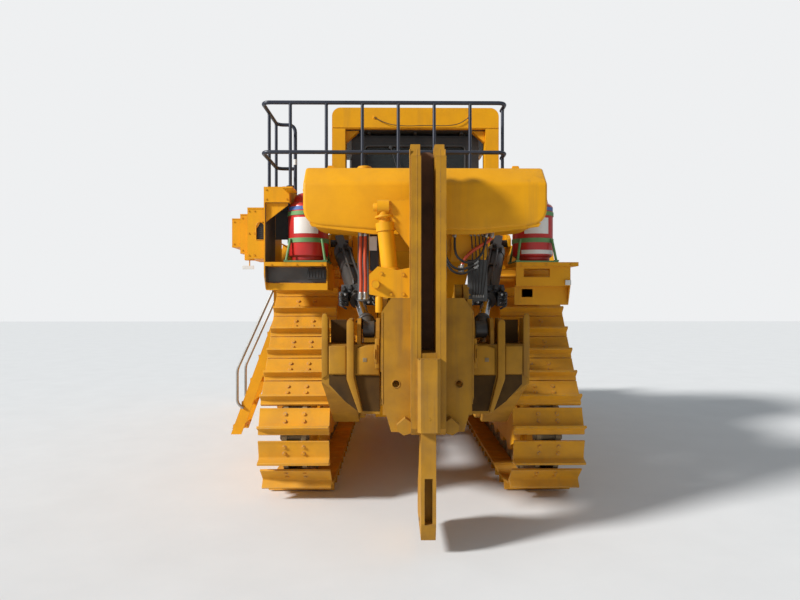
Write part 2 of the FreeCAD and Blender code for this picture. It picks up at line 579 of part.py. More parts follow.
# Left side: a tall outer wall, and on it a closed hutch on which the guard rail's side posts stand.
tall_wall = pad("tall_wall", "YZ",
                [("-shelf_back", "shelf_top - 130"), ("-shelf_back", "wall_top + 10"),
                 ("-shelf_front", "wall_top + 10"), ("-shelf_front", "shelf_top"),
                 ("-shelf_front - 60", "shelf_top - 150"), ("-shelf_front - 250", "wall_low"),
                 ("-shelf_back + 90", "wall_low")], "-fender_outer", "-fender_outer + wall_thick", {"60": [0, 6]})
hutch = block("hutch", "-fender_outer", "-hutch_inner", "-shelf_back", "-hutch_front", "wall_top", "hutch_top")
hutch_prop = pad("hutch_prop", "XZ",
                 [("-fender_outer + wall_thick - 5", "wall_top - 200"),
                  ("-fender_outer + wall_thick - 5", "wall_top + 5"),
                  ("-hutch_inner - 20", "wall_top + 5"), ("-hutch_inner - 20", "wall_top - 25")],
                 "-shelf_back + 30", "-shelf_back + 42")
post_bracket = block("post_bracket", "-hutch_inner - 20", "-hutch_inner + 75", "-rail_back - 30",
                     "-shelf_back + 20", "hutch_top - 60", "hutch_top - 45")
low_lip = block("low_lip", "-fender_outer + 5", "-fender_inner - 45", "-shelf_back + 90", "-shelf_back + 190",
                "wall_low", "wall_low + 12")
lip_edge = block("lip_edge", "-fender_outer + 5", "-fender_inner - 45", "-shelf_back + 90", "-shelf_back + 102",
                 "wall_low", "wall_low + 70")
lip_side = pad("lip_side", "YZ",
               [("-shelf_back + 90", "wall_low"), ("-shelf_back + 90", "shelf_top - shelf_thick + 5"),
               ("-shelf_front - 60", "shelf_top - shelf_thick + 5"), ("-shelf_front - 250", "wall_low")],
               "-fender_inner - 45 - wall_thick", "-fender_inner - 45")
node("fender_left", fuse("fender_left_weldment", mirrored("fender_plain_left", fender_plain), tall_wall, hutch,
                         hutch_prop, post_bracket, low_lip, lip_edge, lip_side))

# Cab: floor, one wall ring with its windows and doorways cut out, and a roof.
node("cab_floor", block("cab_floor_plate", "-cab_half", "cab_half", "-cab_back", "cab_front", "deck_top",
                        "deck_top + cab_floor"))
wall_low = "deck_top + cab_floor"
door_top = "(cab_eave - cab_door_head)"
cab_outer = pad("cab_outer", "YZ", [("-cab_back", wall_low), ("-cab_back", "cab_eave"),
                ("cab_front - 140", "cab_eave"), ("cab_front", "cab_sill - 60"), ("cab_front", wall_low)],
                "-cab_half", "cab_half")
cab_inner = pad("cab_inner", "YZ", [("-cab_back + cab_wall", f"{wall_low} - 10"),
                ("-cab_back + cab_wall", "cab_eave + 10"), ("cab_front - cab_wall - 142", "cab_eave + 10"),
                ("cab_front - cab_wall", "cab_sill - 60"), ("cab_front - cab_wall", f"{wall_low} - 10")],
                "-cab_half + cab_wall", "cab_half - cab_wall")
doorway = block("cab_doorway", "-cab_half - 50", "cab_half + 50", "-cab_door_back - door_gap",
                "cab_door_front - 130 + door_gap", "cab_door_low - door_gap", f"{door_top} + door_gap")
rear_window = block("rear_window", "-rear_glass_half", "rear_glass_half", "-cab_back - 50", "-cab_back + 100",
                    "rear_glass_low", "cab_eave - 60")
front_window = block("front_window", "-cab_half + 110", "cab_half - 110", "cab_front - 260", "cab_front + 50",
                     "cab_sill", "cab_eave - 60")
cab_openings = fuse("cab_openings", doorway, rear_window, front_window)
cab_hinges = [hinge(f"cab_hinge_{k + 1}", "cab_half", "-cab_door_back - door_gap / 2", low)
              for k, low in enumerate(("cab_door_low + 120", f"{door_top} - 120 - hinge_tall"))]
cab_fixed = [half[0] for half in cab_hinges]
node("cab_frame", fuse("cab_weldment", cut("cab_shell", cut("cab_hollow", cab_outer, cab_inner), cab_openings),
                       *cab_fixed, *[mirrored(f"{half.Name}_left", half) for half in cab_fixed]))
node("cab_roof", pad("cab_roof_panel", "XZ",
     [("-cab_half", "cab_eave"), ("-cab_half", "cab_eave + cab_roof"), ("cab_half", "cab_eave + cab_roof"),
      ("cab_half", "cab_eave")], "-cab_back", "cab_front - 100", {"25": [1, 2]}))
rear_pane = block("rear_pane", "-rear_glass_half", "rear_glass_half", "-cab_back + 20",
                  "-cab_back + 20 + glass_thick", "rear_glass_low", "cab_eave - 60")
front_blank = pad("front_pane_blank", "YZ",
                  [("cab_front - 140 - 40", "cab_eave"), ("cab_front - 140 - 40 + glass_thick", "cab_eave"),
                   ("cab_front - 40 + glass_thick", "cab_sill - 60"), ("cab_front - 40", "cab_sill - 60")],
                  "-cab_half + 110", "cab_half - 110")
front_pane = doc.addObject("Part::Common", "front_pane")
front_pane.Base = front_blank
front_pane.Tool = front_window
node("cab_windows", rear_pane, front_pane)
# Cab doors: a frame with one large window, and the pane that turns with it.
door_end = "cab_door_front - 130"
door_frame = block("cab_door_frame", "cab_half - 38", "cab_half", "-cab_door_back", door_end, "cab_door_low",
                   door_top)
door_hole = block("cab_door_hole", "cab_half - 90", "cab_half + 50", "-cab_door_back + 70", f"{door_end} - 70",
                  "cab_sill - 200", f"{door_top} - 70")
door_body = cut("cab_door_cut", door_frame, door_hole)
door_pane = block("cab_door_pane", "cab_half - 24", "cab_half - 24 + glass_thick", "-cab_door_back + 70",
                  f"{door_end} - 70", "cab_sill - 200", f"{door_top} - 70")
door_body = fuse("cab_door_whole", door_body, *[half[1] for half in cab_hinges])
node("cab_door_right", door_body)
node("cab_door_glass_right", door_pane)
node("cab_door_left", mirrored("cab_door_left_cut", door_body))
node("cab_door_glass_left", mirrored("cab_door_left_pane", door_pane))

# Seat and console on the cab floor.
seat_base = block("seat_base", "-200", "200", "-250", "150", wall_low, f"{wall_low} + 420")
seat_pad = pad("seat_pad", "YZ", [("-290", f"{wall_low} + 380"), ("-290", f"{wall_low} + 1050"),
               ("-190", f"{wall_low} + 1060"), ("-130", f"{wall_low} + 500"), ("230", f"{wall_low} + 510"),
               ("250", f"{wall_low} + 400")], "-260", "260", {"30": [1, 2, 4]})
node("seat", fuse("seat_whole", seat_base, seat_pad))
node("console", pad("console_body", "YZ", [("600", wall_low), ("600", f"{wall_low} + 560"),
     ("560", f"{wall_low} + 700"), ("720", f"{wall_low} + 760"), ("760", wall_low)], "-380", "380"))

# Roll-over frame: two box posts on the fenders and a deep canopy with rounded upper corners.
canopy_low = "(cab_eave + canopy_rise)"
canopy_top = f"({canopy_low} + canopy_tall)"
post = block("post", "post_inner", "post_outer", "-post_back", "-post_back + post_deep", "fender_top",
             canopy_low)
node("roll_post_right", post)
node("roll_post_left", mirrored("roll_post_other", post))
node("canopy", pad("canopy_body", "XZ", [("-post_outer", canopy_low), ("-post_outer", canopy_top),
     ("post_outer", canopy_top), ("post_outer", canopy_low)], "-post_back", "canopy_front",
     {"canopy_round": [1, 2]}))

# Fuel tank behind the cab on a stand that leans back from the main case.
tank_corners = [("-tank_back", "tank_low"), ("-tank_back", "tank_slope_low"),
                ("-tank_back + tank_slope_deep", "tank_top"), ("-tank_front", "tank_top"),
                ("-tank_front", "tank_low")]
tank_body = pad("tank_body", "YZ", tank_corners, "-tank_half", "tank_half")
tank_mould = pad("tank_mould", "XZ",
                 [("-tank_half", "tank_low + tank_keel"), ("-tank_half", "tank_top"), ("tank_half", "tank_top"),
                  ("tank_half", "tank_low + tank_keel"), ("tower_half", "tank_low"), ("-tower_half", "tank_low")],
                 "-tank_back - 10", "-tank_front + 10", {"tank_round": [0, 3]})
tank = doc.addObject("Part::Common", "tank_shape")
tank.Base = tank_body
tank.Tool = tank_mould
node("fuel_tank", tank)
stand_body = pad("stand_body", "YZ",
                 [("-stand_front", "case_top"), ("-stand_front", "stand_top"), ("-stand_back", "stand_top"),
                  ("-stand_back", "stand_lip"), ("-case_back", "stand_root"), ("-case_back", "case_top")],
                 "-tower_half", "tower_half")
# On each side of the stand a bolted cross wall has two ears for a ripper lift cylinder's head.
head_wall = block("head_wall", "tower_half", "head_side + head_gap + head_ear", "-head_back + 130", "-head_back + 180",
                  "shelf_top", "head_height + 130")
head_ears = []
for k, start in enumerate(("head_side - head_gap - head_ear", "head_side + head_gap")):
    head_ears.append(pad(f"head_ear_{k + 1}", "YZ",
                         [("-head_back + 140", "head_height - 130"), ("-head_back + 140", "head_height + 120"),
                          ("-head_back - 20", "head_height + 90"), ("-head_back - 90", "head_height + 40"),
                          ("-head_back - 90", "head_height - 40"), ("-head_back - 20", "head_height - 90")],
                         start, f"{start} + head_ear"))
head_bore = round_bar("head_bore", "X", "head_side - head_gap - head_ear - 10", "-head_back", "head_height",
                      "head_pin + running_gap", "2 * (head_gap + head_ear + 10)")
head_bracket = cut("head_bracket", fuse("head_bracket_whole", head_wall, *head_ears), head_bore)
node("tank_stand", stand_body)
pair("head_brackets", head_bracket)


# A tube through a list of points, each corner cut into two mitred joints at the bend's reach.
def tube_line(points, radius, reach):
    places = [Vector(*point) for point in points]
    line = [places[0]]
    for k in range(1, len(places) - 1):
        back = places[k - 1] - places[k]
        ahead = places[k + 1] - places[k]
        middle = places[k] + (back.normalize() + ahead.normalize()) * reach * 0.29
        line += [places[k] + back * reach, middle, places[k] + ahead * reach]
    line.append(places[-1])
    pipe = Part.BRepOffsetAPI.MakePipeShell(Part.makePolygon(line))
    pipe.add(Part.Wire(Part.makeCircle(radius, line[0], line[1] - line[0])))
    pipe.setTransitionMode(1)
    pipe.build()
    pipe.makeSolid()
    return pipe.shape()


# A straight round bar between two places.
def bar_between(first, last, radius):
    along = last - first
    return Part.makeCylinder(radius, along.Length, first, along)


# Guard rail on the tank: a top and a middle rail. Both return forward on the right. On the left they run out
# over the hutch, forward and in again, where the top rail turns down to the hutch.
def guard_rail():
    tube = get("rail_tube")
    back = -get("rail_back")
    base = get("tank_top")
    height = base + get("rail_rise")
    right = get("rail_right")
    left = -get("rail_left")
    front = -get("rail_side_front")
    hutch_side = left + get("rail_inward")
    shapes = []
    for level in (height, base + get("rail_rise") * get("rail_mid_share")):
        points = [(left, front, level), (left, back, level), (right, back, level),
                  (right, back + get("rail_return"), level)]
        points.insert(0, (hutch_side, front, level))
        if level == height:
            points.insert(0, (hutch_side, front, get("hutch_top")))
        shapes.append(tube_line(points, tube, get("rail_bend")))
    last = int(get("rail_post_count")) - 1
    pitch = get("rail_post_pitch")
    posts = [(right - k * pitch, back, base) for k in range(1, last)]
    posts += [(right - last * pitch, back, get("hutch_top") - 45),
              (right, back + get("rail_return") - 60, base), (left, front - 60, get("hutch_top")),
              (left, (front + back) / 2 - 45, get("hutch_top"))]
    for x, y, foot in posts:
        shapes.append(Part.makeCylinder(get("rail_post_radius"), height - foot, Vector(x, y, foot)))
    return shapes[0].fuse(shapes[1:])


node("guard_rail", shaped("guard_rail_tubes", guard_rail()))


# Fire bottles on the rear shelves: a cylinder with a domed top and a short neck.
def bottle_foot():
    return Vector(get("bottle_side"), -get("bottle_back"), get("shelf_top") + get("bottle_foot"))


def bottle():
    radius = get("bottle_radius")
    tall = get("bottle_tall")
    dome = 90
    foot = bottle_foot()
    base = Part.makeCone(radius * 0.84, radius, 30, foot)
    body = Part.makeCylinder(radius, tall - dome - 30, foot + Vector(0, 0, 30))
    cap = Part.makeCone(radius, radius * 0.45, dome, foot + Vector(0, 0, tall - dome))
    neck = Part.makeCylinder(34, 110, foot + Vector(0, 0, tall))
    return base.fuse([body, cap, neck])


pair("fire_bottles", shaped("bottle_right", bottle()))


# Each bottle stands in a frame: a base plate, two straps round it and slanted legs up to the lower strap.
def bottle_stand():
    radius = get("bottle_radius") + 0.5
    foot = bottle_foot() - Vector(0, 0, get("bottle_foot"))
    half = 215
    shapes = [Part.makeBox(2 * half, 2 * half, get("bottle_foot"), foot - Vector(half, half, 0))]
    for level, tall in ((200, 45), (475, 40)):
        start = foot + Vector(0, 0, level)
        outer = Part.makeCylinder(radius + 7, tall, start)
        shapes.append(outer.cut(Part.makeCylinder(radius, tall, start)))
    # Four slanted legs to the lower strap, and a flat bar at the front and back that joins both straps.
    for way_x in (-1, 1):
        for way_y in (-1, 1):
            low = foot + Vector(way_x * 196, way_y * 196, 5)
            high = foot + Vector(way_x * 159, way_y * 159, 240)
            shapes.append(bar_between(low, high, 13))
    for way_y in (-1, 1):
        low = foot + Vector(0, way_y * (radius + 11), 5)
        shapes.append(Part.makeBox(24, 14, 505, low - Vector(12, 7, 0)))
    return shapes[0].fuse(shapes[1:])


pair("bottle_stands", shaped("bottle_stand_right", bottle_stand()))

# Service box outboard of the left wall, with an arched window in its rear, and two stepped boxes beside it.
box_outer_block = block("service_box_outer", "-box_outer", "-fender_outer", "-box_back", "-box_front",
                        "box_low", "box_top")
box_hollow = block("service_box_hollow", "-box_outer + box_wall", "-fender_outer - box_wall",
                   "-box_back + box_wall", "-box_front - box_wall", "box_low + box_wall", "box_top - box_wall")
box_window = pad("service_box_window", "XZ",
                 [("-window_side - window_half", "window_low"),
                  ("-window_side - window_half", "window_top - 30"),
                  ("-window_side - window_half + 45", "window_top + 40"),
                  ("-window_side + window_half", "window_top + 40"),
                  ("-window_side + window_half", "window_low")], "-box_back - 20", "-box_back + box_wall + 20",
                 {"30": [2]})
box_shell = cut("service_box_shell", cut("service_box_void", box_outer_block, box_hollow), box_window)
box_mid = block("service_box_mid", "-box_mid_outer", "-box_outer", "-box_back + 110", "-box_front + 60",
                "box_low + 60", "box_top - 50")
box_end = block("service_box_end", "-box_end_outer", "-box_mid_outer", "-box_back + 190", "-box_front + 110",
                "box_low + 130", "box_top - 85")
node("service_boxes", fuse("service_box_group", box_shell, box_mid, box_end))

# Exhaust stacks and air cleaners on the hood.
stack = round_bar("stack", "Z", "stack_side", "stack_ahead", "hood_top_front - 6", "stack_radius",
                  "stack_top - hood_top_front + 6")
stack_skirt = cut("stack_seated", stack, hood_outer)
pair("exhaust_stacks", stack_skirt)
cleaner = round_bar("cleaner", "Z", "cleaner_side", "cleaner_ahead", "hood_top_front", "cleaner_radius",
                    "cleaner_tall")
pair("air_cleaners", cut("cleaner_seated", cleaner, hood_outer))


# Ladder: two stringers that hang from the left fender and lean out below a knee, with treads between them.
def ladder_line():
    back = -get("ladder_back")
    return [Vector(-get("ladder_top_side"), back, get("fender_top")),
            Vector(-get("ladder_top_side"), back, get("ladder_knee")),
            Vector(-get("ladder_low_side"), back, get("ladder_low"))]


def ladder():
    top, knee, low = ladder_line()
    wide = get("step_wide")
    half = get("step_deep") / 2
    thick = get("stringer_thick")
    outline = [point - Vector(half, 0, 0) for point in (top, knee, low)]
    outline += [point + Vector(half, 0, 0) for point in (low, knee, top)]
    shapes = []
    for offset in (0, wide - thick):
        face = Part.Face(Part.makePolygon([point + Vector(0, offset, 0) for point in outline + outline[:1]]))
        shapes.append(face.extrude(Vector(0, thick, 0)))
    count = int(get("step_count"))
    for k in range(count):
        place = low + (knee - low) * ((k + 0.25) / count)
        shapes.append(Part.makeBox(2 * half, wide, get("step_thick"), place - Vector(half, 0, 0)))
    arms = [Part.makeBox(get("ladder_top_side") - get("fender_outer"), 40, get("fender_thick"),
                         Vector(-get("ladder_top_side"), top.y + offset, top.z - get("fender_thick")))
            for offset in (0, wide - 40)]
    return shapes[0].fuse(shapes[1:] + arms)


node("ladder", shaped("ladder_weldment", ladder()))


# Grip rails of the ladder: one outside each stringer, from the top down past the knee to the lowest tread.
def grip_rails():
    top, knee, low = ladder_line()
    radius = get("grip_radius")
    half = get("step_deep") / 2
    rails = []
    for y in (top.y - radius, top.y + get("step_wide") + radius):
        outer = low.x + 20
        points = [(knee.x - half + 36, y, 2160), (outer, y, 1080), (outer, y, 660), (outer + 75, y, 600)]
        rails.append(tube_line(points, radius, 40))
    return rails


node("grip_rails", *[shaped(f"grip_rail_{k + 1}", rail) for k, rail in enumerate(grip_rails())])

# Blade. One cross-section, swept forward at both wings by a ruled loft through four places.
blade_crown = get("blade_low") + get("blade_height")
blade_middle = (get("blade_low") + 120 + blade_crown) / 2


def blade_section(x, forward):
    face = get("blade_face") + forward
    skin = get("blade_skin")
    rear = get("box_rear") + forward
    low = get("blade_low") + 120
    front = Part.Arc(Vector(x, face, low), Vector(x, face - get("blade_hollow"), blade_middle),
                     Vector(x, face + get("blade_lean"), blade_crown))
    circle = front.toShape().Curve
    back_top = Vector(x, face + get("blade_lean") - skin, blade_crown)
    back_middle = Vector(x, face - get("blade_hollow") - skin, blade_middle)
    centre = circle.Center - Vector(0, skin, 0)
    between = centre + ((back_top + back_middle) * 0.5 - centre).normalize() * circle.Radius
    back = Part.Arc(back_top, between, back_middle)
    corners = [back_middle, Vector(x, rear, get("box_crest")), Vector(x, rear, get("box_bottom")),
               Vector(x, face - skin, low), Vector(x, face, low)]
    edges = [front.toShape(), Part.makeLine(Vector(x, face + get("blade_lean"), blade_crown), back_top),
             back.toShape()]
    edges += [Part.makeLine(corners[k], corners[k + 1]) for k in range(len(corners) - 1)]
    return Part.Wire(edges)


def edge_section(x, forward):
    face = get("blade_face") + forward
    slope = get("blade_hollow") * 4 / (blade_crown - get("blade_low") - 120)
    low = get("blade_low")
    high = low + get("edge_height")
    middle = low + 120
    corners = [Vector(x, face - (low - middle) * slope, low), Vector(x, face - (high - middle) * slope, high),
               Vector(x, face - (high - middle) * slope + get("edge_thick"), high),
               Vector(x, face - (low - middle) * slope + get("edge_thick"), low)]
    return Part.makePolygon(corners + corners[:1])


def swept(section):
    places = [(-get("blade_half"), get("wing_reach")), (-get("blade_centre_half"), 0),
              (get("blade_centre_half"), 0), (get("blade_half"), get("wing_reach"))]
    return Part.makeLoft([section(x, forward) for x, forward in places], True, True)


ear_corners = [("lift_eye_ahead - 80", "lift_eye_height - 70"), ("lift_eye_ahead - 80", "lift_eye_height + 70"),
               ("box_rear + 20", "lift_eye_height + 110"), ("box_rear + 20", "lift_eye_height - 110")]
ears = []
for k, (start, end) in enumerate((("lift_side - 65", "lift_side - 35"), ("lift_side + 35", "lift_side + 65"))):
    ear = pad(f"blade_ear_{k + 1}", "YZ", ear_corners, start, end, {"50": [0, 1]})
    ears += [ear, mirrored(f"blade_ear_{k + 1}_left", ear)]
brace_lug = block("brace_lug", "brace_side - 80", "brace_side + 90", "box_rear + 40", "box_rear + 230",
                  "brace_head_height - 100", "brace_head_height + 100")
moldboard = shaped("moldboard", swept(blade_section))
blade = fuse("blade_weldment", moldboard, *ears, brace_lug, mirrored("brace_lug_left", brace_lug))
node("blade", blade)
edge_plate = shaped("edge_plate", swept(edge_section))
node("cutting_edge", cut("cutting_edge_seated", edge_plate, moldboard))

# Push arms outside the tracks, each with an eye on its trunnion and a brace up to the blade's back.
arm_body = pad("arm_body", "YZ",
               [("-trunnion_back - 150", "trunnion_height - 150"), ("-trunnion_back - 150", "trunnion_height + 150"),
                ("arm_knee", "trunnion_height + 110"), ("box_rear", "arm_top"), ("box_rear", "arm_low"),
                ("arm_knee", "arm_low + 60")], arm_in, arm_out, {"130": [0, 1]})
arm_eye = round_bar("arm_eye", "X", f"{arm_in} - 20", "-trunnion_back", "trunnion_height",
                    "trunnion_radius + running_gap", "arm_wide + 40")
brace_foot = Vector((get("track_gauge") + get("shoe_width")) / 2 + get("arm_gap") + get("arm_wide") / 2,
                    get("brace_foot_ahead"), get("brace_foot_height"))
brace_head = Vector(get("brace_side"), get("box_rear") + 100, get("brace_head_height"))
brace = shaped("brace_bar", bar_between(brace_foot, brace_head, get("brace_radius")))
arm_right = cut("arm_right_seated", fuse("arm_right_whole", cut("arm_bored", arm_body, arm_eye), brace), blade)
node("push_arm_right", arm_right)
node("push_arm_left", mirrored("arm_left_seated", arm_right))


# Blade lift cylinders, hung by a trunnion beside the radiator guard.
def lift_line():
    top = Vector(get("lift_side"), get("lift_ahead"), get("lift_height"))
    eye = Vector(get("lift_side"), get("lift_eye_ahead"), get("lift_eye_height"))
    return top, eye, (eye - top).normalize()


def lift_barrel():
    top, eye, along = lift_line()
    up = get("lift_barrel_up")
    radius = get("lift_barrel_radius")
    body = bar_between(top - along * up, top + along * get("lift_barrel_down"), radius)
    bore = bar_between(top - along * (up - 50), top + along * (get("lift_barrel_down") + 50),
                       get("lift_rod_radius") + get("running_gap"))
    collar = bar_between(top - along * 90, top + along * 90, radius + 10)
    pin = Part.makeCylinder(get("lift_rod_radius"), get("lift_side") - get("guard_half") + 60 - radius,
                            Vector(get("guard_half") - 60, top.y, top.z), Vector(1, 0, 0))
    return body.fuse([collar, pin]).cut(bore)


def lift_rod():
    top, eye, along = lift_line()
    thick = get("lift_eye_thick")
    long = (eye - top).Length - get("lift_barrel_down") + get("lift_rod_in")
    disc = Part.makeCylinder(get("lift_eye_radius"), thick, eye - Vector(thick / 2, 0, 0), Vector(1, 0, 0))
    neck = get("rod_neck_long")
    rod = bar_between(eye - along * long, eye - along * neck, get("lift_rod_radius"))
    return rod.fuse([disc, bar_between(eye - along * (neck + 10), eye, get("rod_neck_radius"))])


pair("lift_barrels", shaped("lift_barrel_right", lift_barrel()))
pair("lift_rods", shaped("lift_rod_right", lift_rod()))

# Ripper bracket on the back of the main case, with the pins of the lower frame and of the upper links.
bracket_plate = block("bracket_plate", "-bracket_half", "bracket_half", "-case_back - 40", "-case_back",
                      "case_low + 160", "case_top")
low_lug = pad("low_lug", "YZ", [("-case_back - 20", "hinge_height - 100"), ("-case_back - 20", "hinge_height + 160"),
              ("-hinge_back - 90", "hinge_height + 100"), ("-hinge_back - 90", "hinge_height - 100")],
              "arm_plate_inner - 55", "arm_plate_inner - 5", {"60": [2, 3]})
low_pin = round_bar("low_pin", "X", "arm_plate_inner - 55", "-hinge_back", "hinge_height", "hinge_pin",
                    "arm_plate_outer - arm_plate_inner + 55")
high_height = "(hinge_height + link_rise)"
high_lug = pad("high_lug", "YZ",
               [("-case_back - 20", f"{high_height} - 90"), ("-case_back - 20", f"{high_height} + 120"),
               ("-hinge_back - 90", f"{high_height} + 80"), ("-hinge_back - 90", f"{high_height} - 80")],
               "side_plate_in", "side_plate_out", {"50": [2, 3]})
high_pin = round_bar("high_pin", "X", "link_side - link_half_wide", "-hinge_back", high_height, "link_pin",
                     "side_plate_out - link_side + link_half_wide")
bracket_side = fuse("bracket_side", low_lug, low_pin, high_lug, high_pin)
node("ripper_bracket", fuse("ripper_bracket_weldment", bracket_plate, bracket_side,
                            mirrored("bracket_side_left", bracket_side)))

# Lower ripper frame: two tall arms, an inward stub with the carriage's bearing, and a cross tube.
frame_arm = pad("ripper_arm", "YZ",
                [("-hinge_back + 130", "hinge_height - 110"), ("-hinge_back + 130", "hinge_height + 110"),
                 ("-hinge_back - 120", "hinge_height + 170"), ("-beam_front", "beam_top"),
                 ("-beam_back", "beam_top"), ("-beam_back", "beam_top - 335"), ("-beam_front", "beam_low + 140"),
                 ("-hinge_back - 120", "hinge_height - 125")], "arm_plate_inner", "arm_plate_outer",
                {"100": [0, 1]})
cheeks = []
for k, (start, end) in enumerate((("arm_plate_inner", "arm_plate_inner + 32"),
                                  ("arm_plate_outer - 40", "arm_plate_outer"),
                                  ("rod_side - 98", "rod_side - 66"), ("rod_side + 66", "rod_side + 98"))):
    cheeks.append(pad(f"frame_cheek_{k + 1}", "YZ",
                      [("-beam_front + 10", "beam_top - 40"), ("-beam_front + 10", "beam_top + 60"),
                       ("-rod_back + 70", "beam_top + 225"), ("-rod_back - 90", "beam_top + 225"),
                       ("-beam_back + 10", "beam_top + 120"), ("-beam_back + 10", "beam_top - 40")],
                      start, end))
stub = pad("ripper_stub", "XZ",
           [("stub_inner", "beam_low"), ("stub_inner + 150", "beam_low"), ("arm_plate_outer - 15", "beam_low + 270"),
            ("arm_plate_outer - 15", "beam_low + 300"), ("stub_inner + 240", "beam_top"),
            ("stub_inner", "beam_top")], "-beam_back", "-beam_front")
stub_bore = round_bar("stub_bore", "X", "stub_inner - 20", "-carry_back", "carry_height",
                      "carry_pin + running_gap", "100")
arm_bore = round_bar("ripper_arm_bore", "X", "arm_plate_inner - 20", "-hinge_back", "hinge_height",
                     "hinge_pin + running_gap", "arm_plate_outer - arm_plate_inner + 40")
frame_side_right = cut("ripper_side_bored", fuse("ripper_side", frame_arm, stub, *cheeks),
                       fuse("ripper_bores", stub_bore, arm_bore))
cross_tube = pad("ripper_cross_tube", "YZ", [("-cross_back", "beam_low"), ("-cross_back", "beam_low + 240"),
                 ("-cross_front", "beam_low + 240"), ("-cross_front", "beam_low")], "-arm_plate_inner - 10",
                 "arm_plate_inner + 10", {"60": [0, 1, 2, 3]})
node("ripper_frame", fuse("ripper_frame_weldment", frame_side_right,
                          mirrored("ripper_side_left", frame_side_right), cross_tube))


# Upper links, which keep the carriage level as the frame swings.
def upper_link():
    front = Vector(0, -get("hinge_back"), get("hinge_height") + get("link_rise"))
    back = Vector(0, -get("carry_back"), get("carry_height") + get("link_rise"))
    start = get("link_side") - get("link_half_wide")
    wide = 2 * get("link_half_wide")
    along = (back - front).normalize()
    side = Vector(0, -along.z, along.y) * 58
    bar = face_of([front + side, back + side, back - side, front - side], start).extrude(Vector(wide, 0, 0))
    eyes = [Part.makeCylinder(90, wide, Vector(start, end.y, end.z), Vector(1, 0, 0)) for end in (front, back)]
    holes = [Part.makeCylinder(get("link_pin") + get("running_gap"), wide, Vector(start, end.y, end.z),
                               Vector(1, 0, 0)) for end in (front, back)]
    return bar.fuse(eyes).cut(holes[0]).cut(holes[1]).removeSplitter()


pair("upper_links", shaped("upper_link_right", upper_link()))

# Ripper carriage: two mast flanges and their web, the wide rear plate, and side plates with the pivots.
flange = pad("mast_flange", "YZ",
             [("-mast_back", "mast_low + 60"), ("-mast_back", "mast_top - mast_step"),
              ("-mast_step_back", "mast_top - mast_step"), ("-mast_step_back + 60", "mast_top"),
              ("-mast_front", "mast_top"), ("-mast_front", "mast_low"), ("-mast_back + 60", "mast_low")],
             "shank_half + shank_gap", "mast_half")
rear_plate = pad("rear_plate", "XZ",
                 [("mast_half - 10", "mast_low"), ("plate_half - 80", "mast_low"), ("plate_half", "mast_low + 280"),
                  ("plate_half", "plate_top - 115"), ("plate_half - 80", "plate_top"),
                  ("mast_half - 10", "plate_top")], "-plate_back", "-plate_back + plate_thick")
plate_bore = round_bar("plate_bore", "Y", "plate_hole_side", "-plate_back - 20", "plate_hole_height", "plate_hole",
                       "plate_thick + 40")
side_plate = pad("carriage_side", "YZ",
                 [("-plate_back + plate_thick - 5", "carriage_low"),
                  ("-plate_back + plate_thick - 5", "plate_top - 10"),
                  ("-3200", "plate_top - 10"), ("-carry_back - 80", "carry_height + link_rise + 90"),
                  ("-carry_back + 90", "carry_height + link_rise + 90"), ("-carry_back + 110", "carry_height + 300"),
                  ("-carry_back + 110", "carry_height - 90"), ("-carry_back + 40", "carry_height - 130")],
                 "side_plate_in", "side_plate_out")
carry_pin = round_bar("carriage_pin", "X", "side_plate_in", "-carry_back", "carry_height", "carry_pin",
                      "stub_inner - side_plate_in + 70")
top_pin = round_bar("carriage_top_pin", "X", "link_side - link_half_wide", "-carry_back",
                    "carry_height + link_rise", "link_pin", "side_plate_out - link_side + link_half_wide")
stiffeners = [block(f"carriage_shelf_{k + 1}", "mast_half - 10", "side_plate_in + 10",
                    "-plate_back + plate_thick - 10", "-mast_front", f"shelf_low + {k} * shelf_pitch",
                    f"shelf_low + {k} * shelf_pitch + shelf_tall") for k in range(3)]
lip = pad("guide_lip", "XZ",
          [("mast_half - 10", "mast_low + 10"), ("mast_half - 10", "mast_low + 90"), ("lip_out - 70", "mast_low + 130"),
           ("lip_out", "mast_low + 70"), ("lip_out - 10", "mast_low + 20"), ("lip_out - 60", "mast_low - 10")],
          "-plate_back - lip_deep", "-plate_back + 5")
carriage_side = cut("carriage_side_bored", fuse("carriage_side_whole", flange, rear_plate, side_plate, carry_pin,
                                                top_pin, lip, *stiffeners), plate_bore)
web = block("mast_web", "-shank_half - shank_gap - 5", "shank_half + shank_gap + 5", "-mast_front - 40",
            "-mast_front", "mast_web_low", "mast_top - 60")
keeper = pad("keeper", "XY",
             [("-keeper_half", "-mast_back + 30"), ("-keeper_half", "-mast_back - keeper_deep + 25"),
              ("-keeper_half + 25", "-mast_back - keeper_deep"), ("keeper_half - 25", "-mast_back - keeper_deep"),
              ("keeper_half", "-mast_back - keeper_deep + 25"), ("keeper_half", "-mast_back + 30")],
             "keeper_low", "keeper_top")
shank_way = block("shank_way", "-shank_half - shank_gap", "shank_half + shank_gap", "-mast_back - 1",
                  "-mast_front - 45", "mast_low - 50", "keeper_top + 5")
node("ripper_carriage", cut("ripper_carriage_whole", fuse("ripper_carriage_weldment", carriage_side,
     mirrored("carriage_side_left", carriage_side), web, keeper), shank_way))

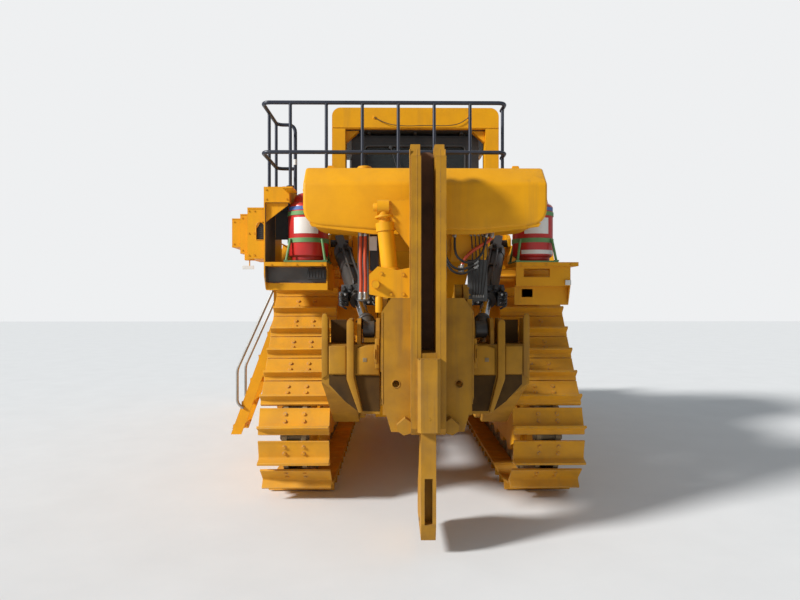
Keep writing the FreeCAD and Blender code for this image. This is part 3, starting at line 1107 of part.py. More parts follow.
# Shank with its foot, a pocket in the back of the foot and a cross bore for the tip's pin.
shank_body = pad("shank_body", "YZ",
                 [("-mast_back + 5", "shank_top"), ("-mast_back + 5", "shank_low + 150"),
                  ("-mast_back + 60", "shank_low"), ("-foot_bottom_front", "shank_low"),
                  ("-foot_front", "shank_low + 50"), ("-foot_front - 75", "shank_low + 310"),
                  ("-foot_throat", "shank_low + 550"), ("-mast_front - 46", "shank_low + 740"),
                  ("-mast_front - 46", "shank_top")], "-shank_half", "shank_half")
foot_pocket = block("foot_pocket", "-32", "32", "-mast_back - 10", "-mast_back + 115", "shank_low + 140",
                    "shank_low + 510")
tip_bore = round_bar("tip_bore", "X", "-shank_half - 10", "-tip_back", "shank_low + 150", "tip_pin",
                     "2 * shank_half + 20")
node("ripper_shank", cut("ripper_shank_whole", shank_body, fuse("shank_cuts", foot_pocket, tip_bore)))

# Shank pin jack: a cylinder left of the mast that leans out, on a casting and under a bracket.
def jack_barrel():
    foot = Vector(-get("jack_foot_side"), -get("jack_back"), get("jack_foot_height"))
    eye = Vector(-get("jack_eye_side"), -get("jack_back"), get("jack_eye_height"))
    along = (eye - foot).normalize()
    radius = get("jack_radius")
    reach = (eye - foot).Length
    collar = reach - 130
    return bar_between(foot, foot + along * collar, radius).fuse([
        bar_between(foot + along * (collar - 70), foot + along * collar, radius + 10),
        bar_between(foot, foot + along * reach, radius * 0.7),
        Part.makeCylinder(get("jack_eye_radius"), 100, eye - Vector(50, 0, 0), Vector(1, 0, 0))])


jack_base = pad("jack_base", "XZ",
                [("-480", "plate_top + 30"), ("-480", "plate_top + 190"), ("-410", "plate_top + 260"),
                 ("-250", "plate_top + 230"), ("-mast_half", "plate_top + 250"), ("-mast_half", "plate_top"),
                 ("-330", "plate_top")], "-plate_back", "-3300")
jack_pin = round_bar("jack_pin", "Y", "-425", "-plate_back - 25", "plate_top + 110", "34", "60")
jack_arm = pad("jack_arm", "XZ",
               [("-mast_half", "jack_eye_height - 345"), ("-mast_half", "jack_eye_height + 65"),
                ("-jack_eye_side", "jack_eye_height + 45"),
               ("-jack_eye_side", "jack_eye_height - 45")], "-jack_back - 20", "-jack_back + 20")
node("shank_jack", fuse("shank_jack_whole", jack_base, jack_pin, shaped("jack_barrel", jack_barrel()), jack_arm))


# Splayed ripper lift cylinders: a cross-shaped head block between ears, a forked barrel and a rod.
def ripper_line(side):
    head = Vector(side * get("head_side"), -get("head_back"), get("head_height"))
    eye = Vector(side * get("rod_side"), -get("rod_back"), get("rod_height"))
    along = (eye - head).normalize()
    flat = Vector(0, eye.y - head.y, eye.z - head.z).normalize()
    return head, eye, along, Vector(0, -flat.z, flat.y)


def head_cross(side):
    head, eye, along, upward = ripper_line(side)
    half = get("head_block") / 2
    reach = get("head_gap") + get("head_ear") + 6
    across = Part.makeCylinder(get("head_pin"), 2 * reach, head - Vector(reach, 0, 0), Vector(1, 0, 0))
    stem = bar_between(head - upward * (half + 34), head + upward * (half + 34), get("head_pin"))
    corners = [head + upward * a + upward.cross(Vector(1, 0, 0)) * b
               for a, b in ((-half, -half), (-half, half), (half, half), (half, -half))]
    middle = face_of(corners, head.x - half).extrude(Vector(2 * half, 0, 0))
    return across.fuse([stem, middle]).removeSplitter()


def ripper_barrel(side):
    head, eye, along, upward = ripper_line(side)
    half = get("head_block") / 2
    thick = get("fork_thick")
    across = along.cross(upward).normalize()
    start = head + along * 150
    body = bar_between(start, head + along * get("ripper_barrel_long"), get("ripper_barrel_radius"))
    bore = bar_between(head + along * 190, head + along * (get("ripper_barrel_long") + 50),
                       get("ripper_rod_radius") + get("running_gap"))
    cheeks = []
    for way in (-1, 1):
        base = head + upward * (way * (half + 6))
        broad = get("cheek_half")
        corners = [base + across * a + along * b
                   for a, b in ((-broad, -50), (broad, -50), (broad, 170), (-broad, 170))]
        cheeks.append(Part.Face(Part.makePolygon(corners + corners[:1])).extrude(upward * (way * thick)))
    holes = bar_between(head - upward * (half + 60), head + upward * (half + 60),
                        get("head_pin") + get("running_gap"))
    return body.fuse(cheeks).cut(bore).cut(holes)


def ripper_rod(side):
    head, eye, along, upward = ripper_line(side)
    thick = get("rod_eye_thick")
    inner = head + along * (get("ripper_barrel_long") - 800)
    neck = get("rod_neck_long")
    rod = bar_between(inner, eye - along * neck, get("ripper_rod_radius"))
    stem = bar_between(eye - along * (neck + 10), eye - along * 40, get("rod_neck_radius"))
    disc = Part.makeCylinder(get("rod_eye_radius"), thick, eye - Vector(thick / 2, 0, 0), Vector(1, 0, 0))
    return rod.fuse([stem, disc])


node("cylinder_heads", shaped("head_right", head_cross(1)), shaped("head_left", head_cross(-1)))
for side, word_side in ((-1, "left"), (1, "right")):
    node(f"ripper_barrel_{word_side}", shaped(f"ripper_barrel_shape_{word_side}", ripper_barrel(side)))
    node(f"ripper_rod_{word_side}", shaped(f"ripper_rod_shape_{word_side}", ripper_rod(side)))

doc.recompute()
faults = [item.Name for item in doc.Objects if "Invalid" in item.State or "Error" in item.State]
faults += [item.Label for item in nodes if item.Shape.isNull() or not item.Shape.isValid()]
if faults:
    raise SystemExit("not built: " + ", ".join(faults))

os.makedirs("parts", exist_ok=True)
whole = FreeCAD.BoundBox()
for item in nodes:
    solids = item.Shape.Solids
    shape = solids[0] if len(solids) == 1 else Part.makeCompound(solids)
    shape.exportStep(f"parts/{item.Label}.step")
    whole.add(shape.BoundBox)
print(f"{len(nodes)} nodes, {sum(len(item.Shape.Solids) for item in nodes)} solids")
print("from", [round(value, 1) for value in (whole.XMin, whole.YMin, whole.ZMin)])
print("to", [round(value, 1) for value in (whole.XMax, whole.YMax, whole.ZMax)])
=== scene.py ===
import bpy
import bmesh
import math
from mathutils import Matrix, Vector


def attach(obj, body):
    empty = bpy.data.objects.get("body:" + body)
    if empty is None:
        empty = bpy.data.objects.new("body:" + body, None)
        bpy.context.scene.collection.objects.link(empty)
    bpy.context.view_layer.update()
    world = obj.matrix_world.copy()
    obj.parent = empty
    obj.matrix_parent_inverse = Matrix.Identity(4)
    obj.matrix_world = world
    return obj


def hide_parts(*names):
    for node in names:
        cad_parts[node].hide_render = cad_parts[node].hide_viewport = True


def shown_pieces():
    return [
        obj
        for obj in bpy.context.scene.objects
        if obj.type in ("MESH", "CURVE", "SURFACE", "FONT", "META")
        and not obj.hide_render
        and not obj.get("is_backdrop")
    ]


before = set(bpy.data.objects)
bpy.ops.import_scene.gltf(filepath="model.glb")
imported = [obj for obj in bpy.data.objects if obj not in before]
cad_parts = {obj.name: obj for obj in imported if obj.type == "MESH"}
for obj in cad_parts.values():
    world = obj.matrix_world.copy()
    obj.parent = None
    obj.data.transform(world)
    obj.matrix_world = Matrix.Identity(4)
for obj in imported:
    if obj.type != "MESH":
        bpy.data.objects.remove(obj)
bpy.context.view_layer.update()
bpy.ops.object.select_all(action="DESELECT")
bpy.context.view_layer.objects.active = None
print("frame loaded:", len(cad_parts), "nodes")

# Places below are measured from a point halfway between the track idlers, 0.12 m above the ground.
# settle() moves each finished piece by these two steps along Y and Z, into the frame.
rowShift = -0.18175
rowLift = 0.12
sideWords = ((-1, "left"), (1, "right"))

# Camera, light and floor

stageValues = {
    "cameraPlace": (-0.276, -8.40 + rowShift, 1.97 + rowLift),
    "cameraTurn": (89.81, 0.0, -0.573),
    "lens": 27.0,
    "worldLight": 0.34,
    "worldColour": (0.84, 0.92, 1.0),
    "backdrop": (0.86, 0.87, 0.88),
    "keyStrength": 4.3,
    "keyTurn": (60, 0, -64),
    "fillStrength": 0.25,
    "fillTurn": (62, 0, 140),
    "floorColour": (0.78, 0.78, 0.77),
}


def setStage():
    camera = bpy.data.cameras.new("camera")
    camera.lens = stageValues["lens"]
    camera.sensor_width = 36
    eye = bpy.data.objects.new("camera", camera)
    bpy.context.scene.collection.objects.link(eye)
    eye.location = stageValues["cameraPlace"]
    eye.rotation_euler = [math.radians(a) for a in stageValues["cameraTurn"]]
    camera.clip_end = 200
    bpy.context.scene.camera = eye
    for name, strength, turn, angle in (("key", stageValues["keyStrength"], stageValues["keyTurn"], 9),
                                        ("fill", stageValues["fillStrength"], stageValues["fillTurn"], 30),):
        lamp = bpy.data.lights.new(name, "SUN")
        lamp.energy = strength
        lamp.angle = math.radians(angle)
        holder = bpy.data.objects.new(name, lamp)
        holder.rotation_euler = [math.radians(a) for a in turn]
        bpy.context.scene.collection.objects.link(holder)
    world = bpy.data.worlds.new("studio")
    bpy.context.scene.world = world
    world.use_nodes = True
    nodes, links = world.node_tree.nodes, world.node_tree.links
    nodes.clear()
    output = nodes.new("ShaderNodeOutputWorld")
    light, seen = nodes.new("ShaderNodeBackground"), nodes.new("ShaderNodeBackground")
    light.inputs["Color"].default_value = (*stageValues["worldColour"], 1)
    light.inputs["Strength"].default_value = stageValues["worldLight"]
    seen.inputs["Color"].default_value = (*stageValues["backdrop"], 1)
    mix, path = nodes.new("ShaderNodeMixShader"), nodes.new("ShaderNodeLightPath")
    both = nodes.new("ShaderNodeMath")
    both.operation = "MAXIMUM"
    links.new(path.outputs["Is Camera Ray"], both.inputs[0])
    links.new(path.outputs["Is Transmission Ray"], both.inputs[1])
    links.new(both.outputs[0], mix.inputs["Fac"])
    links.new(light.outputs[0], mix.inputs[1])
    links.new(seen.outputs[0], mix.inputs[2])
    links.new(mix.outputs[0], output.inputs["Surface"])
    bpy.context.scene.view_settings.view_transform = "Standard"


setStage()
print("camera and light set")

# Shader groups that several finishes share
def newGroup(name, inputs, outputs):
    tree = bpy.data.node_groups.new(name, "ShaderNodeTree")
    for label, kind, value in inputs:
        made = tree.interface.new_socket(label, in_out="INPUT", socket_type=kind)
        made.default_value = value
    for label, kind in outputs:
        tree.interface.new_socket(label, in_out="OUTPUT", socket_type=kind)
    start, end = tree.nodes.new("NodeGroupInput"), tree.nodes.new("NodeGroupOutput")
    return tree, start, end


def mathNode(tree, operation, first, second=0.0, third=None, clamp=False):
    made = tree.nodes.new("ShaderNodeMath")
    made.operation = operation
    made.use_clamp = clamp
    for place, value in enumerate((first, second, third)):
        if value is None:
            continue
        if isinstance(value, (int, float)):
            made.inputs[place].default_value = value
        else:
            tree.links.new(value, made.inputs[place])
    return made.outputs[0]


def noiseNode(tree, vector, scale, detail=4.0, rough=0.55):
    made = tree.nodes.new("ShaderNodeTexNoise")
    tree.links.new(vector, made.inputs["Vector"])
    if isinstance(scale, (int, float)):
        made.inputs["Scale"].default_value = scale
    else:
        tree.links.new(scale, made.inputs["Scale"])
    made.inputs["Detail"].default_value = detail
    made.inputs["Roughness"].default_value = rough
    return made.outputs["Fac"]


def rampNode(tree, value, low, high):
    made = tree.nodes.new("ShaderNodeMapRange")
    made.inputs["From Min"].default_value = low
    made.inputs["From Max"].default_value = high
    tree.links.new(value, made.inputs["Value"])
    return made.outputs["Result"]


def mixColour(tree, share, first, second, way="MIX"):
    made = tree.nodes.new("ShaderNodeMix")
    made.data_type = "RGBA"
    made.blend_type = way
    for place, value in ((0, share), (6, first), (7, second)):
        if isinstance(value, (int, float)):
            made.inputs[place].default_value = value
        elif isinstance(value, tuple):
            made.inputs[place].default_value = (*value, 1)
        else:
            tree.links.new(value, made.inputs[place])
    return made.outputs[2]


def placeVector(tree, stretch=(1, 1, 1)):
    place = tree.nodes.new("ShaderNodeTexCoord")
    turn = tree.nodes.new("ShaderNodeMapping")
    turn.inputs["Scale"].default_value = stretch
    tree.links.new(place.outputs["Object"], turn.inputs["Vector"])
    return turn.outputs["Vector"]


# Dust: thick on faces that look up and near the ground, broken by noise.
def makeDustGroup():
    tree, start, end = newGroup("dustCover",
                                [("Colour", "NodeSocketColor", (0.5, 0.5, 0.5, 1)),
                                 ("Dust", "NodeSocketColor", (0.42, 0.33, 0.22, 1)),
                                 ("Amount", "NodeSocketFloat", 0.5), ("Ground", "NodeSocketFloat", 0.6)],
                                [("Colour", "NodeSocketColor"), ("Mask", "NodeSocketFloat")])
    vector = placeVector(tree)
    coarse = noiseNode(tree, vector, 2.4, 6, 0.62)
    fine = noiseNode(tree, vector, 34, 5, 0.7)
    split = tree.nodes.new("ShaderNodeSeparateXYZ")
    shape = tree.nodes.new("ShaderNodeNewGeometry")
    tree.links.new(shape.outputs["Normal"], split.inputs[0])
    up = rampNode(tree, split.outputs["Z"], 0.25, 0.95)
    height = tree.nodes.new("ShaderNodeSeparateXYZ")
    tree.links.new(vector, height.inputs[0])
    low = mathNode(tree, "MULTIPLY", rampNode(tree, height.outputs["Z"], 2.3, 0.0), start.outputs["Ground"])
    patch = rampNode(tree, coarse, 0.36, 0.72)
    speck = rampNode(tree, fine, 0.30, 0.75)
    base = mathNode(tree, "ADD", mathNode(tree, "MULTIPLY", up, 0.75), low)
    base = mathNode(tree, "ADD", base, 0.22)
    both = mathNode(tree, "MULTIPLY", base, mathNode(tree, "MULTIPLY_ADD", patch, 0.8, 0.35))
    both = mathNode(tree, "MULTIPLY", both, mathNode(tree, "MULTIPLY_ADD", speck, 0.7, 0.55))
    mask = mathNode(tree, "MULTIPLY", both, start.outputs["Amount"], clamp=True)
    tree.links.new(mixColour(tree, mask, start.outputs["Colour"], start.outputs["Dust"]),
                   end.inputs["Colour"])
    tree.links.new(mask, end.inputs["Mask"])
    return tree


# Edge wear: where a bevelled normal leaves the true one, broken by noise.
def makeWearGroup():
    tree, start, end = newGroup("edgeWear",
                                [("Reach", "NodeSocketFloat", 0.012), ("Amount", "NodeSocketFloat", 1.0)],
                                [("Mask", "NodeSocketFloat")])
    bevel = tree.nodes.new("ShaderNodeBevel")
    bevel.samples = 4
    tree.links.new(start.outputs["Reach"], bevel.inputs["Radius"])
    shape = tree.nodes.new("ShaderNodeNewGeometry")
    dot = tree.nodes.new("ShaderNodeVectorMath")
    dot.operation = "DOT_PRODUCT"
    tree.links.new(bevel.outputs["Normal"], dot.inputs[0])
    tree.links.new(shape.outputs["Normal"], dot.inputs[1])
    edge = rampNode(tree, dot.outputs["Value"], 0.985, 0.80)
    chips = rampNode(tree, noiseNode(tree, placeVector(tree), 26, 5, 0.7), 0.42, 0.62)
    tree.links.new(mathNode(tree, "MULTIPLY", mathNode(tree, "MULTIPLY", edge, chips),
                            start.outputs["Amount"], clamp=True), end.inputs["Mask"])
    return tree


# Runs: long upright stains of water, grease and fuel.
def makeRunGroup():
    tree, start, end = newGroup("uprightRuns",
                                [("Scale", "NodeSocketFloat", 9.0), ("Amount", "NodeSocketFloat", 0.5)],
                                [("Mask", "NodeSocketFloat")])
    thin = noiseNode(tree, placeVector(tree, (1, 1, 0.06)), start.outputs["Scale"], 5, 0.6)
    wide = noiseNode(tree, placeVector(tree, (1, 1, 0.5)), 1.7, 3, 0.5)
    both = mathNode(tree, "MULTIPLY", rampNode(tree, thin, 0.50, 0.72), rampNode(tree, wide, 0.42, 0.68))
    tree.links.new(mathNode(tree, "MULTIPLY", both, start.outputs["Amount"], clamp=True), end.inputs["Mask"])
    return tree


# Grain: a fine uneven surface for bump and roughness, and a slow drift of tone.
def makeGrainGroup():
    tree, start, end = newGroup("surfaceGrain",
                                [("Fine", "NodeSocketFloat", 160.0), ("Coarse", "NodeSocketFloat", 7.0)],
                                [("Height", "NodeSocketFloat"), ("Tone", "NodeSocketFloat")])
    vector = placeVector(tree)
    fine = noiseNode(tree, vector, start.outputs["Fine"], 4, 0.6)
    coarse = noiseNode(tree, vector, start.outputs["Coarse"], 5, 0.55)
    tree.links.new(mathNode(tree, "MULTIPLY_ADD", coarse, 0.65, mathNode(tree, "MULTIPLY", fine, 0.35)),
                   end.inputs["Height"])
    tree.links.new(coarse, end.inputs["Tone"])
    return tree


dustGroup, wearGroup = makeDustGroup(), makeWearGroup()
runGroup, grainGroup = makeRunGroup(), makeGrainGroup()


def groupNode(tree, group, values):
    made = tree.nodes.new("ShaderNodeGroup")
    made.node_tree = group
    for label, value in values.items():
        if isinstance(value, tuple):
            made.inputs[label].default_value = (*value, 1)
        elif isinstance(value, (int, float)):
            made.inputs[label].default_value = value
        else:
            tree.links.new(value, made.inputs[label])
    return made


# What each finish is made of: colour and its darker or faded partner, roughness, dust, wear, runs, bump
# and, where it has them, shine and metal.
finishValues = {
    "yellowPaint": dict(colour=(0.80, 0.355, 0.001), partner=(0.72, 0.312, 0.001), rough=0.46, dust=0.16,
                        dustColour=(0.40, 0.26, 0.09), ground=0.45, bare=(0.20, 0.085, 0.035), wear=0.55,
                        runs=0.42, runColour=(0.16, 0.09, 0.035), bump=0.10, shine=0.28),
    "ripperYellow": dict(colour=(0.46, 0.215, 0.006), partner=(0.33, 0.150, 0.007), rough=0.58, dust=0.34,
                         dustColour=(0.30, 0.20, 0.09), ground=0.60, bare=(0.15, 0.075, 0.035), wear=0.8,
                         runs=0.60, runColour=(0.11, 0.065, 0.030), bump=0.22, shine=0.25),
    "trackYellow": dict(colour=(0.78, 0.350, 0.006), partner=(0.64, 0.285, 0.010), rough=0.55, dust=0.30,
                        dustColour=(0.44, 0.29, 0.11), ground=0.60, bare=(0.42, 0.32, 0.21), wear=1.0,
                        runs=0.25, runColour=(0.20, 0.11, 0.05), bump=0.30, shine=0.28),
    "blackPaint": dict(colour=(0.016, 0.016, 0.018), partner=(0.030, 0.028, 0.026), rough=0.40, dust=0.42,
                       dustColour=(0.20, 0.16, 0.11), ground=0.4, bare=(0.16, 0.10, 0.07), wear=0.5, runs=0.2,
                       runColour=(0.09, 0.07, 0.05), bump=0.12),
    "navyTube": dict(colour=(0.010, 0.014, 0.030), partner=(0.020, 0.026, 0.045), rough=0.36, dust=0.22,
                     dustColour=(0.24, 0.22, 0.18), ground=0.1, bare=(0.25, 0.24, 0.22), wear=0.6, runs=0.1,
                     runColour=(0.1, 0.1, 0.1), bump=0.05),
    "trackSteel": dict(colour=(0.215, 0.150, 0.070), partner=(0.115, 0.080, 0.048), rough=0.66, dust=0.85,
                       dustColour=(0.46, 0.34, 0.175), ground=0.5, bare=(0.44, 0.39, 0.31), wear=0.9,
                       runs=0.2, runColour=(0.09, 0.05, 0.03), bump=0.55, metal=0.25),
    "wornSteel": dict(colour=(0.165, 0.150, 0.130), partner=(0.105, 0.075, 0.052), rough=0.46, dust=0.5,
                      dustColour=(0.36, 0.27, 0.16), ground=0.5, bare=(0.50, 0.48, 0.45), wear=0.9, runs=0.3,
                      runColour=(0.14, 0.06, 0.025), bump=0.35, metal=0.6),
    "redPaint": dict(colour=(0.56, 0.012, 0.010), partner=(0.43, 0.010, 0.010), rough=0.30, dust=0.26,
                     dustColour=(0.42, 0.30, 0.20), ground=0.1, bare=(0.35, 0.30, 0.27), wear=0.3, runs=0.2,
                     runColour=(0.12, 0.03, 0.02), bump=0.06),
    "rubberHose": dict(colour=(0.014, 0.014, 0.014), partner=(0.030, 0.028, 0.026), rough=0.62, dust=0.5,
                       dustColour=(0.17, 0.14, 0.10), ground=0.3, bare=(0.05, 0.05, 0.05), wear=0.1, runs=0.0,
                       runColour=(0.1, 0.1, 0.1), bump=0.3),
    "orangeSleeve": dict(colour=(0.62, 0.075, 0.012), partner=(0.48, 0.05, 0.012), rough=0.60, dust=0.4,
                         dustColour=(0.34, 0.20, 0.11), ground=0.1, bare=(0.5, 0.1, 0.03), wear=0.0, runs=0.0,
                         runColour=(0.1, 0.1, 0.1), bump=0.3),
    "darkPlastic": dict(colour=(0.020, 0.020, 0.021), partner=(0.034, 0.033, 0.032), rough=0.55, dust=0.28,
                        dustColour=(0.20, 0.18, 0.15), ground=0.0, bare=(0.06, 0.06, 0.06), wear=0.2,
                        runs=0.0, runColour=(0.1, 0.1, 0.1), bump=0.35),
    # Dark lining for the cab floor and the hose boards; on the fender's inner walls the same finish is
    # painted shade and dirt.
    "darkLiningAndPaintedShade": dict(colour=(0.12, 0.12, 0.118), partner=(0.085, 0.085, 0.084), rough=0.75, dust=0.2,
                      dustColour=(0.30, 0.27, 0.22), ground=0.0, bare=(0.2, 0.2, 0.2), wear=0.1, runs=0.0,
                      runColour=(0.1, 0.1, 0.1), bump=0.4),
    "seatCloth": dict(colour=(0.028, 0.029, 0.033), partner=(0.045, 0.046, 0.050), rough=0.85, dust=0.25,
                      dustColour=(0.26, 0.22, 0.17), ground=0.0, bare=(0.07, 0.07, 0.07), wear=0.2, runs=0.0,
                      runColour=(0.1, 0.1, 0.1), bump=0.6),
    "whitePaint": dict(colour=(0.78, 0.78, 0.75), partner=(0.68, 0.67, 0.63), rough=0.45, dust=0.35,
                       dustColour=(0.46, 0.38, 0.27), ground=0.1, bare=(0.4, 0.35, 0.3), wear=0.3, runs=0.3,
                       runColour=(0.35, 0.28, 0.2), bump=0.05),
    "blueBand": dict(colour=(0.05, 0.14, 0.42), partner=(0.05, 0.11, 0.33), rough=0.42, dust=0.25,
                     dustColour=(0.40, 0.34, 0.27), ground=0.0, bare=(0.6, 0.6, 0.6), wear=0.2, runs=0.1,
                     runColour=(0.2, 0.2, 0.2), bump=0.05),
    "greenPaint": dict(colour=(0.12, 0.30, 0.09), partner=(0.08, 0.22, 0.07), rough=0.50, dust=0.35,
                       dustColour=(0.40, 0.33, 0.22), ground=0.1, bare=(0.3, 0.25, 0.2), wear=0.5, runs=0.2,
                       runColour=(0.15, 0.1, 0.05), bump=0.08),
    # Painted shade: dark brown for the shaded channel of the mast, with dust, runs and wear.
    "paintedChannelShade": dict(colour=(0.185, 0.085, 0.040), partner=(0.10, 0.050, 0.030), rough=0.82, dust=0.4,
                       dustColour=(0.36, 0.25, 0.15), ground=0.3, bare=(0.35, 0.30, 0.26), wear=0.5, runs=0.4,
                       runColour=(0.08, 0.03, 0.015), bump=0.5, metal=0.2),
    # Painted shade: the ripper frame's yellow darkened as it looks in shadow, with dust, runs and wear over
    # it.
    "paintedShadeYellow": dict(colour=(0.085, 0.040, 0.006), partner=(0.045, 0.022, 0.006), rough=0.80, dust=0.2,
                       dustColour=(0.16, 0.10, 0.045), ground=0.4, bare=(0.15, 0.075, 0.035), wear=0.4,
                       runs=0.5, runColour=(0.05, 0.03, 0.015), bump=0.25, shine=0.2),
    "zincSteel": dict(colour=(0.46, 0.45, 0.43), partner=(0.34, 0.33, 0.31), rough=0.38, dust=0.3,
                      dustColour=(0.40, 0.32, 0.2), ground=0.2, bare=(0.7, 0.7, 0.7), wear=0.4, runs=0.2,
                      runColour=(0.2, 0.12, 0.06), bump=0.12, metal=0.85),
    "chromeRod": dict(colour=(0.62, 0.62, 0.63), partner=(0.50, 0.50, 0.51), rough=0.12, dust=0.10,
                      dustColour=(0.36, 0.30, 0.22), ground=0.1, bare=(0.8, 0.8, 0.8), wear=0.0, runs=0.25,
                      runColour=(0.10, 0.08, 0.06), bump=0.02, metal=1.0),
    "exhaustSteel": dict(colour=(0.075, 0.060, 0.050), partner=(0.16, 0.085, 0.045), rough=0.68, dust=0.25,
                         dustColour=(0.30, 0.22, 0.15), ground=0.0, bare=(0.3, 0.25, 0.2), wear=0.4, runs=0.4,
                         runColour=(0.14, 0.06, 0.03), bump=0.25, metal=0.5),
}


def makeFinish(name):
    value = finishValues[name]
    made = bpy.data.materials.new(name)
    made.use_nodes = True
    tree = made.node_tree
    shader = tree.nodes["Principled BSDF"]
    grain = groupNode(tree, grainGroup, {"Fine": 150.0, "Coarse": 5.0})
    tone = rampNode(tree, grain.outputs["Tone"], 0.35, 0.68)
    colour = mixColour(tree, tone, value["colour"], value["partner"])
    runs = groupNode(tree, runGroup, {"Scale": 11.0, "Amount": value["runs"]})
    colour = mixColour(tree, runs.outputs["Mask"], colour, value["runColour"])
    wear = groupNode(tree, wearGroup, {"Reach": 0.012, "Amount": value["wear"]})
    colour = mixColour(tree, wear.outputs["Mask"], colour, value["bare"])
    dust = groupNode(tree, dustGroup, {"Colour": colour, "Dust": value["dustColour"], "Amount": value["dust"],
                                       "Ground": value["ground"]})
    tree.links.new(dust.outputs["Colour"], shader.inputs["Base Color"])
    rough = mathNode(tree, "MULTIPLY_ADD", dust.outputs["Mask"], 0.85 - value["rough"],
                     mathNode(tree, "MULTIPLY_ADD", grain.outputs["Height"], 0.22, value["rough"] - 0.10))
    tree.links.new(rough, shader.inputs["Roughness"])
    shader.inputs["Metallic"].default_value = value.get("metal", 0.0)
    shader.inputs["Specular IOR Level"].default_value = value.get("shine", 0.5)
    bump = tree.nodes.new("ShaderNodeBump")
    bump.inputs["Strength"].default_value = value["bump"]
    bump.inputs["Distance"].default_value = 0.004
    height = mathNode(tree, "MULTIPLY_ADD", dust.outputs["Mask"], 0.4, grain.outputs["Height"])
    tree.links.new(height, bump.inputs["Height"])
    tree.links.new(bump.outputs["Normal"], shader.inputs["Normal"])
    return made


finishes = {name: makeFinish(name) for name in finishValues}


def makeGlass(name, tint, clear):
    made = bpy.data.materials.new(name)
    made.use_nodes = True
    tree = made.node_tree
    shader = tree.nodes["Principled BSDF"]
    grain = groupNode(tree, grainGroup, {"Fine": 60.0, "Coarse": 3.0})
    dust = groupNode(tree, dustGroup, {"Colour": tint, "Dust": (0.30, 0.27, 0.22), "Amount": 0.20,
                                       "Ground": 0.0})
    tree.links.new(dust.outputs["Colour"], shader.inputs["Base Color"])
    tree.links.new(mathNode(tree, "MULTIPLY_ADD", grain.outputs["Tone"], 0.10, 0.03),
                   shader.inputs["Roughness"])
    shader.inputs["Alpha"].default_value = clear
    shader.inputs["IOR"].default_value = 1.5
    return made


finishes["cabGlass"] = makeGlass("cabGlass", (0.018, 0.022, 0.022), 0.80)
finishes["lampGlass"] = makeGlass("lampGlass", (0.62, 0.63, 0.62), 0.95)
finishes["amberGlass"] = makeGlass("amberGlass", (0.75, 0.22, 0.01), 0.97)
print("finishes made:", len(finishes))

# Every CAD node that stays gets its finish
nodeFinishes = {
    "yellowPaint": "blade push_arm_left push_arm_right hood radiator_guard engine_door_left "
                   "engine_door_right deck fender_left fender_right roll_post_left roll_post_right canopy "
                   "fuel_tank tank_stand service_boxes ladder shank_jack track_frame_left track_frame_right "
                   "final_drives main_case front_frame head_brackets",
    "ripperYellow": "ripper_bracket ripper_frame upper_links ripper_carriage ripper_shank",
    "blackPaint": "cab_frame cab_roof cab_door_left cab_door_right lift_barrels ripper_barrel_left "
                  "ripper_barrel_right cylinder_heads equalizer_bar engine_block",
    "navyTube": "guard_rail",
    "trackYellow": "track_left track_right track_rollers idlers",
    "trackSteel": "sprockets",
    "wornSteel": "cutting_edge",
    "cabGlass": "cab_windows cab_door_glass_left cab_door_glass_right",
    "redPaint": "fire_bottles",
    "greenPaint": "bottle_stands",
    "zincSteel": "grip_rails",
    "chromeRod": "lift_rods ripper_rod_left ripper_rod_right",
    "exhaustSteel": "exhaust_stacks",
    "darkPlastic": "console seat air_cleaners",
    "darkLiningAndPaintedShade": "cab_floor",
}
for finish, names in nodeFinishes.items():
    for name in names.split():
        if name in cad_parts:
            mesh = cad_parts[name].data
            mesh.materials.clear()
            mesh.materials.append(finishes[finish])
print("finishes set on the CAD nodes")

# Modelling helpers: a primitive is added, shaped in edit mode, and settled into the frame

def deselect():
    if bpy.context.mode != "OBJECT":
        bpy.ops.object.mode_set(mode="OBJECT")
    bpy.ops.object.select_all(action="DESELECT")


def turnAlong(direction):
    return Vector(direction).to_track_quat("Z", "Y").to_euler()


# A block between two corners with its edges bevelled.
def addBlock(low, high, bevel=0.006, segments=2):
    deselect()
    middle = [(a + b) / 2 for a, b in zip(low, high)]
    bpy.ops.mesh.primitive_cube_add(size=1, location=middle)
    made = bpy.context.active_object
    made.scale = [abs(b - a) for a, b in zip(low, high)]
    bpy.ops.object.transform_apply(location=True, rotation=True, scale=True)
    if bevel:
        bpy.ops.object.mode_set(mode="EDIT")
        bpy.ops.mesh.select_all(action="SELECT")
        bpy.ops.mesh.bevel(offset=bevel, segments=segments, affect="EDGES")
        bpy.ops.object.mode_set(mode="OBJECT")
    return made


# A round bar between two points with bevelled ends.
def addBar(start, end, radius, sides=24, bevel=0.003):
    deselect()
    first, last = Vector(start), Vector(end)
    bpy.ops.mesh.primitive_cylinder_add(vertices=sides, radius=radius, depth=(last - first).length,
                                        location=(first + last) / 2, rotation=turnAlong(last - first))
    made = bpy.context.active_object
    bpy.ops.object.transform_apply(location=True, rotation=True, scale=True)
    if bevel:
        ends = [face.index for face in made.data.polygons if len(face.vertices) == sides]
        for face in made.data.polygons:
            face.select = face.index in ends
        bpy.ops.object.mode_set(mode="EDIT")
        bpy.ops.mesh.select_mode(type="FACE")
        bpy.ops.mesh.region_to_loop()
        bpy.ops.mesh.bevel(offset=bevel, segments=2, affect="EDGES")
        bpy.ops.object.mode_set(mode="OBJECT")
    return made


